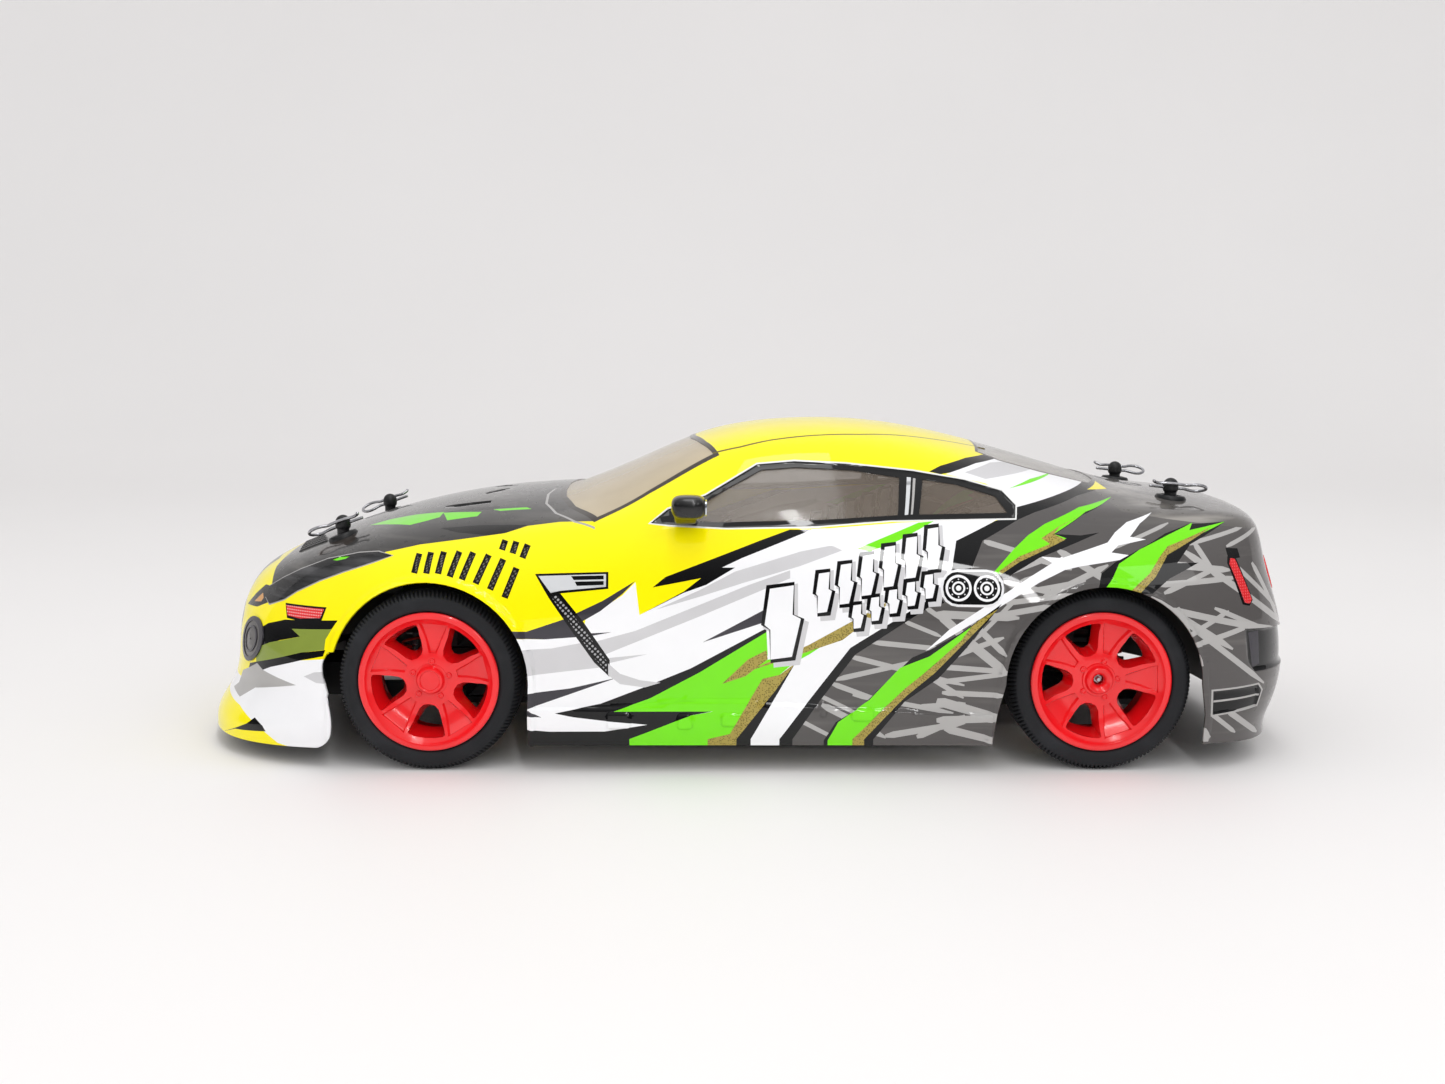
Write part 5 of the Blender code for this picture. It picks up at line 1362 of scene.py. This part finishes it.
def tyre_shape(axle):
    """A low tyre with a rounded shoulder and fine slanted cuts round both shoulders of its tread."""
    y0 = AXLES[axle]
    cuts, per_cut = 132, 3
    # Each point is its radius, its distance from the tyre's middle plane and the depth of a cut there.
    shoulder = [(27.35, 11.4, 0), (27.5, 12.3, 0), (28.0, 12.7, 0), (28.5, 12.9, 0), (29.6, 13.0, 0),
                (31.4, 13.0, 0), (32.4, 12.8, 0), (32.9, 12.5, 0.2), (33.6, 11.9, 0.8), (34.2, 11.2, 1.1),
                (34.7, 10.2, 1.2), (34.95, 9.0, 1.1), (35.0, 7.6, 0.5), (35.0, 7.0, 0), (35.0, 4.3, 0),
                (34.4, 4.1, 0), (34.4, 3.3, 0), (35.0, 3.1, 0)]
    profile = [(24.9, 69.5, 0), (24.9, 92.0, 0)]
    profile += [(r, TYRE_X + x, depth) for r, x, depth in shoulder]
    profile += [(r, TYRE_X - x, depth) for r, x, depth in reversed(shoulder)]
    sections = []
    count = cuts * per_cut
    for k in range(count):
        section = []
        for radius, x, depth in profile:
            aside = abs(x - TYRE_X)
            slant = 0.35 * max(0.0, 12.5 - aside) if aside > 6 else 2.275
            angle = 2 * math.pi * (k + slant) / count
            r = radius - (depth if k % per_cut == 0 else 0.0)
            section.append((x, y0 + r * math.cos(angle), AXLE_Z + r * math.sin(angle)))
        sections.append(section)
    return lofted(sections, closed=True)


def wheels():
    for axle in AXLES:
        rim_mesh = rim_shape(axle)
        tyre_mesh = tyre_shape(axle)
        for side_name, side in SIDES.items():
            prefix = f"{axle}_{side_name}"
            body = f"{prefix}_wheel"
            shape = mirrored(rim_mesh.copy(), side)
            piece(f"{prefix}_wheel_rim", shape, RED_PLASTIC, body, (f"{prefix}_rim",), 34,
                  0.16)
            shape = mirrored(tyre_mesh.copy(), side)
            piece(f"{prefix}_wheel_tyre", shape, TYRE_RUBBER, body, (f"{prefix}_tyre",), 50)
            if axle == "rear":
                centre = (AXLES[axle], AXLE_Z)
                nut = turned([(2.0, 84.6), (2.0, 87.4), (1.7, 87.8), (1.0, 87.8)], "X", centre, 6)
                tip = turned([(1.0, 84.6), (1.0, 89.0), (0.7, 89.4)], "X", centre, 16)
                piece(f"{prefix}_axle_nut", mirrored(nut, side), STEEL, body, bevel=0.15)
                piece(f"{prefix}_axle_tip", mirrored(tip, side), STEEL, body)


wheels()


# ---- posts, clips and mirrors ----
def tilted(post, height):
    """Turns a level shape about the post's axis at this height, to the slope of the panel under it."""
    at = Vector((0, POSTS[post]["y"], height))
    return Matrix.Translation(at) @ Matrix.Rotation(POSTS[post]["pitch"], 4, "X") @ Matrix.Translation(-at)


def post_shape(post):
    """A round headed post with a washer on the shell and a cross hole for the clip."""
    data = POSTS[post]
    y, skin_z, top = data["y"], data["skin_z"], data["top_z"]
    flange = skin_z - 1.2 - 0.35 - (3.2 if post == "front" else 1.6)
    socket = skin_z - 34.0
    head = [(2.45, top - 6.2), (2.5, top - 5.7), (2.9, top - 5.3), (3.1, top - 4.6)]
    for degrees in range(0, 86, 12):
        angle = math.radians(degrees)
        head.append((3.1 * math.cos(angle), top - 3.1 + 3.1 * math.sin(angle)))
    profile = [(2.0, socket), (2.4, socket + 0.8), (2.4, flange - 2.0), (5.2, flange - 1.2), (5.2, flange),
               (3.1, flange + 0.05), (2.45, flange + 1.0), *head]
    shape = turned(profile, "Z", (POST_X, y), 32)
    hole_z = top - CLIP_DROP
    hole = turned([(CLIP_WIRE_R + 0.45, y - 12), (CLIP_WIRE_R + 0.45, y + 12)], "Y", (POST_X, hole_z), 16)
    return combined(shape, cuts=[moved(hole, tilted(post, hole_z))])


def clip_shape(post):
    """A spring wire clip: a straight leg through the post, a round loop and a waved free leg."""
    data = POSTS[post]
    pull, z = data["pull"], data["top_z"] - CLIP_DROP
    points = [(0, -8.5), (0, -3.0), (0, 3.0), (0.2, 5.0)]
    for k in range(9):
        angle = math.radians(215 - 30 * k)
        points.append((2.2 + 3.4 * math.cos(angle), 9.6 + 4.2 * math.sin(angle)))
    points += [(4.0, 5.0), (4.3, 3.0), (4.5, 0.0), (4.2, -3.0), (3.6, -6.0), (4.6, -8.0), (5.6, -8.6)]
    lift = math.radians(26)
    path = [(POST_X + x * math.cos(lift), data["y"] + pull * y, z + x * math.sin(lift)) for x, y in points]
    return moved(wire(smooth_path(path, 5), CLIP_WIRE_R), tilted(post, z))


def washer_shape(post):
    """The moulded collar that sits on the panel round the post."""
    data = POSTS[post]
    y, z = data["y"], data["skin_z"]
    profile = [(3.75, z - 0.9), (3.75, z + 1.0), (4.3, z + 1.5), (5.6, z + 1.3), (6.2, z + 0.5),
               (6.2, z - 0.9)]
    return moved(ring_of(profile, "Z", (POST_X, y), 32), tilted(post, z))


def posts_and_clips():
    for post in POSTS:
        post_mesh, clip_mesh, washer_mesh = post_shape(post), clip_shape(post), washer_shape(post)
        for side_name, side in SIDES.items():
            prefix = f"{post}_{side_name}"
            shape = mirrored(post_mesh.copy(), side)
            piece(f"{prefix}_post", shape, BLACK_PLASTIC, "body", (f"{prefix}_body_post",))
            shape = mirrored(washer_mesh.copy(), side)
            piece(f"{prefix}_collar", shape, BLACK_PLASTIC, "body")
            shape = mirrored(clip_mesh.copy(), side)
            piece(f"{prefix}_wire_clip", shape, STEEL, f"{prefix}_clip",
                  (f"{prefix}_body_clip",))


def mirror_ring(x, half_y, half_z, count=32):
    """One upright slice of the mirror's housing: a rounded box."""
    ring = []
    for k in range(count):
        angle = 2 * math.pi * (k + 0.5) / count
        c, s = math.cos(angle), math.sin(angle)
        corner = (abs(c) ** 3.4 + abs(s) ** 3.4) ** (-1 / 3.4)
        ring.append((x, MIRROR_Y + half_y * corner * c, 102.7 + half_z * corner * s))
    return ring


def mirror_shape():
    """A rounded housing whose outer end closes in over several slices."""
    stations = [(87.6, 4.4, 2.8), (88.2, 5.4, 3.6), (89.6, 6.2, 4.1), (93.0, 6.6, 4.4), (97.0, 6.6, 4.4),
                (100.0, 6.2, 4.2), (101.8, 5.4, 3.6), (102.7, 4.2, 2.7), (103.0, 2.3, 1.4)]
    return lofted([mirror_ring(*station) for station in stations])


def mirror_foot():
    outline = [(84.8, 94.6), (91.4, 96.6), (96.6, 99.2), (97.0, 100.6), (88.4, 101.6), (83.6, 98.4)]
    return lofted([[(x, y, z) for x, z in outline] for y in (MIRROR_Y - 5.6, MIRROR_Y - 3.0, MIRROR_Y + 3.0)])


def mirror_pane():
    outline = rounded_box(90.0, 99.6, 100.2, 105.2, 1.8)
    return lofted([[(x, y, z) for x, z in outline] for y in (MIRROR_Y + 6.1, MIRROR_Y + 6.9)])


def mirrors():
    for name, side in SIDES.items():
        shape = mirrored(mirror_shape(), side)
        piece(f"{name}_door_mirror", shape, GLOSS_BLACK, "body", (f"{name}_mirror",), 60)
        shape = mirrored(mirror_foot(), side)
        piece(f"{name}_mirror_foot", shape, GLOSS_BLACK, "body", bevel=0.8)
        shape = mirrored(mirror_pane(), side)
        piece(f"{name}_mirror_glass", shape, MIRROR_FILM, "body", bevel=0.2)


posts_and_clips()
mirrors()


# ---- raised details on the shell ----
def laid_ring(point_at, u, v, r_in, r_out, lift, sink, segments=40):
    """A flat ring laid on the skin, lift proud of it and sink deep in it."""
    sections = []
    for k in range(segments):
        angle = 2 * math.pi * k / segments
        c, s = math.cos(angle), math.sin(angle)
        run = ((r_in, -sink), (r_in, lift), (r_out, lift), (r_out, -sink))
        sections.append([point_at(u + radius * c, v + radius * s, height) for radius, height in run])
    return lofted(sections, closed=True)


def flank_disc(y, z, radius, lift, segments=24):
    """A low button on the left flank, lift proud of it."""
    sections = []
    for share, height in ((1.0, -0.2), (1.0, lift * 0.8), (0.8, lift), (0.2, lift * 1.05)):
        sections.append([flank_point(u, v, height) for u, v in circle(y, z, radius * share, segments)])
    return lofted(sections)


def gauges():
    """Two round dials with plain rings and a ring of beads, side by side in their panel."""
    for side_name, side in SIDES.items():
        for index, y in enumerate((80.3, 90.9)):
            z, name = 71.6, f"{side_name}_dial_{index + 1}"
            rings = laid_ring(flank_point, y, z, 4.0, 4.9, 0.85, 0.2)
            joined(rings, laid_ring(flank_point, y, z, 1.8, 2.5, 0.85, 0.2))
            for k in range(8):
                angle = math.pi / 4 * k
                joined(rings, flank_disc(y + 3.3 * math.cos(angle), z + 3.3 * math.sin(angle), 0.28, 0.8, 8))
            joined(rings, flank_disc(y, z, 1.0, 1.0))
            piece(name, mirrored(rings, side), LOOKS["white"], "body")


FOG_LAMP = (60.5, 45.6)         # x, z of its centre


def fog_lamps():
    """A round lamp behind concentric bezels at each corner of the nose."""
    for side_name, side in SIDES.items():
        bezel = laid_ring(nose_point, *FOG_LAMP, 7.2, 9.0, 0.6, 0.3)
        joined(bezel, laid_ring(nose_point, *FOG_LAMP, 4.6, 5.4, 0.5, 0.3))
        lens = laid_ring(nose_point, *FOG_LAMP, 0.4, 7.3, 0.25, 0.3)
        piece(f"{side_name}_fog_bezel", mirrored(bezel, side), LOOKS["charcoal"], "body")
        piece(f"{side_name}_fog_lens", mirrored(lens, side), LOOKS["rear"], "body")


def joined(bm, other):
    """Adds another shape to bm, as a separate shell of the same piece."""
    mesh = drawn_mesh("part", other)
    bm.from_mesh(mesh)
    bpy.data.meshes.remove(mesh)
    return bm


gauges()
fog_lamps()


# ---- finishes by material slot ----
SLOT_LOOKS = {
    "black_plastic": moulded_plastic("chassis_moulding", rgb(24, 24, 26), 0.46),
    "grey_nylon": moulded_plastic("grey_nylon_moulding", rgb(62, 62, 66), 0.5, 1100.0, 0.15),
    "white_nylon": moulded_plastic("white_nylon_moulding", rgb(226, 224, 214), 0.42, 1000.0, 0.1),
    "steel_wire": STEEL,
    "motor_can": bright_metal("motor_can_metal", rgb(176, 178, 182), 0.28, (240.0, 12.0, 240.0)),
    "battery_wrap": moulded_plastic("battery_shrink_wrap", rgb(28, 74, 176), 0.3, 240.0, 0.25, 0.3),
    "spring_steel": moulded_plastic("sprung_coil_paint", rgb(208, 40, 30), 0.3, 600.0, 0.08, 0.4),
    "damper_body": moulded_plastic("damper_moulding", rgb(30, 30, 34), 0.34, 900.0, 0.06, 0.3),
    "red_plastic": RED_PLASTIC,
    "tyre_rubber": TYRE_RUBBER,
    "body_yellow": LOOKS["yellow"],
}


# ---- damper springs: a coil round each damper, between the cylinder's flange and the rod's cup ----

SHOCK_TOP = (34.0, 70.0)            # x, z of the damper's upper and lower pins
SHOCK_FOOT = (46.0, 28.0)
SHOCK_OUT = {"front": -15.0, "rear": 15.0}
COIL_TURNS, COIL_R, COIL_WIRE_R = 4, 5.25, 0.6
COIL_TOP = -11.45                   # below the upper pin, along the damper


def damper_spring(axle, side_name, side):
    """A coil wound round the damper, from below its upper pin down towards its foot."""
    prefix = f"{axle}_{side_name}"
    across, down = SHOCK_FOOT[0] - SHOCK_TOP[0], SHOCK_TOP[1] - SHOCK_FOOT[1]
    coil_foot = 7.95 - math.hypot(across, down)
    stand = (Matrix.Translation((SHOCK_TOP[0], AXLES[axle] + SHOCK_OUT[axle], SHOCK_TOP[1]))
             @ Matrix.Rotation(-math.atan2(across, down), 4, "Y"))
    steps = COIL_TURNS * 22
    path = []
    for k in range(steps + 1):
        angle = 2 * math.pi * COIL_TURNS * k / steps
        path.append((COIL_R * math.cos(angle), COIL_R * math.sin(angle),
                     coil_foot + (COIL_TOP - coil_foot) * k / steps))
    obj = piece(f"{prefix}_coil_spring", mirrored(moved(wire(path, COIL_WIRE_R, 8), stand), side),
                SLOT_LOOKS["spring_steel"], None, (f"{prefix}_damper_spring",), 60)
    ends = [stand @ Vector((0, 0, z)) for z in (COIL_TOP - 1.0, coil_foot + 1.0)]
    start, end = (place((side * p.x, p.y, p.z)) for p in ends)
    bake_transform(obj)


for axle_name in AXLES:
    for side_word, side_sign in SIDES.items():
        damper_spring(axle_name, side_word, side_sign)


# ---- finishes of the CAD nodes that stay ----
def finish_cad_nodes():
    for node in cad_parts.values():
        if node.hide_render:
            continue
        slot_name = node.data.materials[0].name.split(".")[0]
        look = SLOT_LOOKS.get(slot_name, SLOT_LOOKS["black_plastic"])
        for index in range(len(node.data.materials)):
            node.data.materials[index] = look
        rounded_edges(node, 0.25, 40)


finish_cad_nodes()


# ---- room, light and camera ----
def stage_sheet():
    """A pale floor that curves up into a wall far behind the car's right side."""
    foot, sweep, height = -1.1, 1.2, 5.0
    profile = [(6.0, 0.0), (2.0, 0.0), (foot, 0.0)]
    for k in range(1, 13):
        angle = math.radians(7.5 * k)
        profile.append((foot - sweep * math.sin(angle), sweep - sweep * math.cos(angle)))
    profile.append((foot - sweep, height))
    mesh = bpy.data.meshes.new("backdrop")
    points = [(x, y, z) for x, z in profile for y in (-7.0, 7.0)]
    faces = [(2 * k, 2 * k + 1, 2 * k + 3, 2 * k + 2) for k in range(len(profile) - 1)]
    mesh.from_pydata(points, [], faces)
    mesh.shade_smooth()
    look = Look("backdrop_paper", Specular_IOR_Level=0.2)
    look.colour(look.blend(look.noise(1.6, 3.0), rgb(236, 234, 233), rgb(242, 240, 239)))
    look.roughness(look.between(look.noise(9.0), 0.5, 0.62))
    mesh.materials.append(look.material)
    mesh_object("backdrop", mesh)


def soft_box(name, location, target, width, height, power):
    light = bpy.data.lights.new(name, "AREA")
    light.shape = "RECTANGLE"
    light.size, light.size_y, light.energy = width, height, power
    obj = bpy.data.objects.new(name, light)
    bpy.context.scene.collection.objects.link(obj)
    obj.location = location
    obj.rotation_mode = "QUATERNION"
    obj.rotation_quaternion = (Vector(target) - Vector(location)).to_track_quat("-Z", "Y")


def light_the_room():
    """A pale room that is brighter above in reflections, one tone behind the floor, and four soft boxes."""
    world = bpy.data.worlds.new("studio")
    bpy.context.scene.world = world
    world.use_nodes = True
    tree = world.node_tree

    def link(value, socket):
        tree.links.new(value, socket)

    def glow(colour, strength):
        node = tree.nodes.new("ShaderNodeBackground")
        node.inputs["Color"].default_value = (*colour, 1)
        if isinstance(strength, bpy.types.NodeSocket):
            link(strength, node.inputs["Strength"])
        else:
            node.inputs["Strength"].default_value = strength
        return node.outputs["Background"]

    def choice(ray, otherwise, then):
        node = tree.nodes.new("ShaderNodeMixShader")
        for value, socket in zip((rays.outputs[ray], otherwise, then), node.inputs):
            link(value, socket)
        return node.outputs["Shader"]

    rays = tree.nodes.new("ShaderNodeLightPath")
    upward = tree.nodes.new("ShaderNodeSeparateXYZ")
    link(tree.nodes.new("ShaderNodeTexCoord").outputs["Generated"], upward.inputs["Vector"])
    ramp = tree.nodes.new("ShaderNodeMapRange")
    ramp.inputs["From Min"].default_value, ramp.inputs["From Max"].default_value = 0.1, 0.9
    ramp.inputs["To Min"].default_value, ramp.inputs["To Max"].default_value = 0.12, 0.9
    link(upward.outputs["Z"], ramp.inputs["Value"])
    reflected = glow((0.8, 0.8, 0.8), ramp.outputs["Result"])
    lit = choice("Is Glossy Ray", glow((0.93, 0.93, 0.94), 0.95), reflected)
    seen = choice("Is Camera Ray", lit, glow((0.77, 0.755, 0.75), 1.0))
    link(seen, tree.nodes["World Output"].inputs["Surface"])
    soft_box("overhead", (0.15, 0.0, 1.6), (0, 0, 0.05), 0.35, 1.1, 3.5)
    soft_box("strip", (0.8, 0.1, 0.75), (0, 0, 0.06), 0.03, 1.3, 2.4)
    soft_box("key", (1.25, 0.9, 0.95), (0, 0, 0.06), 0.5, 0.5, 1.6)
    soft_box("fill", (1.1, -1.2, 0.8), (0, 0, 0.06), 0.6, 0.6, 0.9)
    bpy.context.scene.view_settings.view_transform = "Standard"


LENS_MM = 38.2
CAMERA_PLACE = (0.670, -0.0073, 0.1632)
CAMERA_DOWN_DEGREES = 7.32


def set_camera():
    """The camera stands off the left side at bonnet height, looking slightly down."""
    lens = bpy.data.cameras.new("camera")
    lens.lens, lens.sensor_width = LENS_MM, 36.0
    lens.clip_start, lens.clip_end = 0.01, 50
    camera = bpy.data.objects.new("camera", lens)
    bpy.context.scene.collection.objects.link(camera)
    camera.location = CAMERA_PLACE
    pitch = math.radians(CAMERA_DOWN_DEGREES)
    camera.rotation_mode = "QUATERNION"
    looking = Vector((-math.cos(pitch), 0, -math.sin(pitch)))
    camera.rotation_quaternion = looking.to_track_quat("-Z", "Y")
    bpy.context.scene.camera = camera


stage_sheet()
light_the_room()
set_camera()
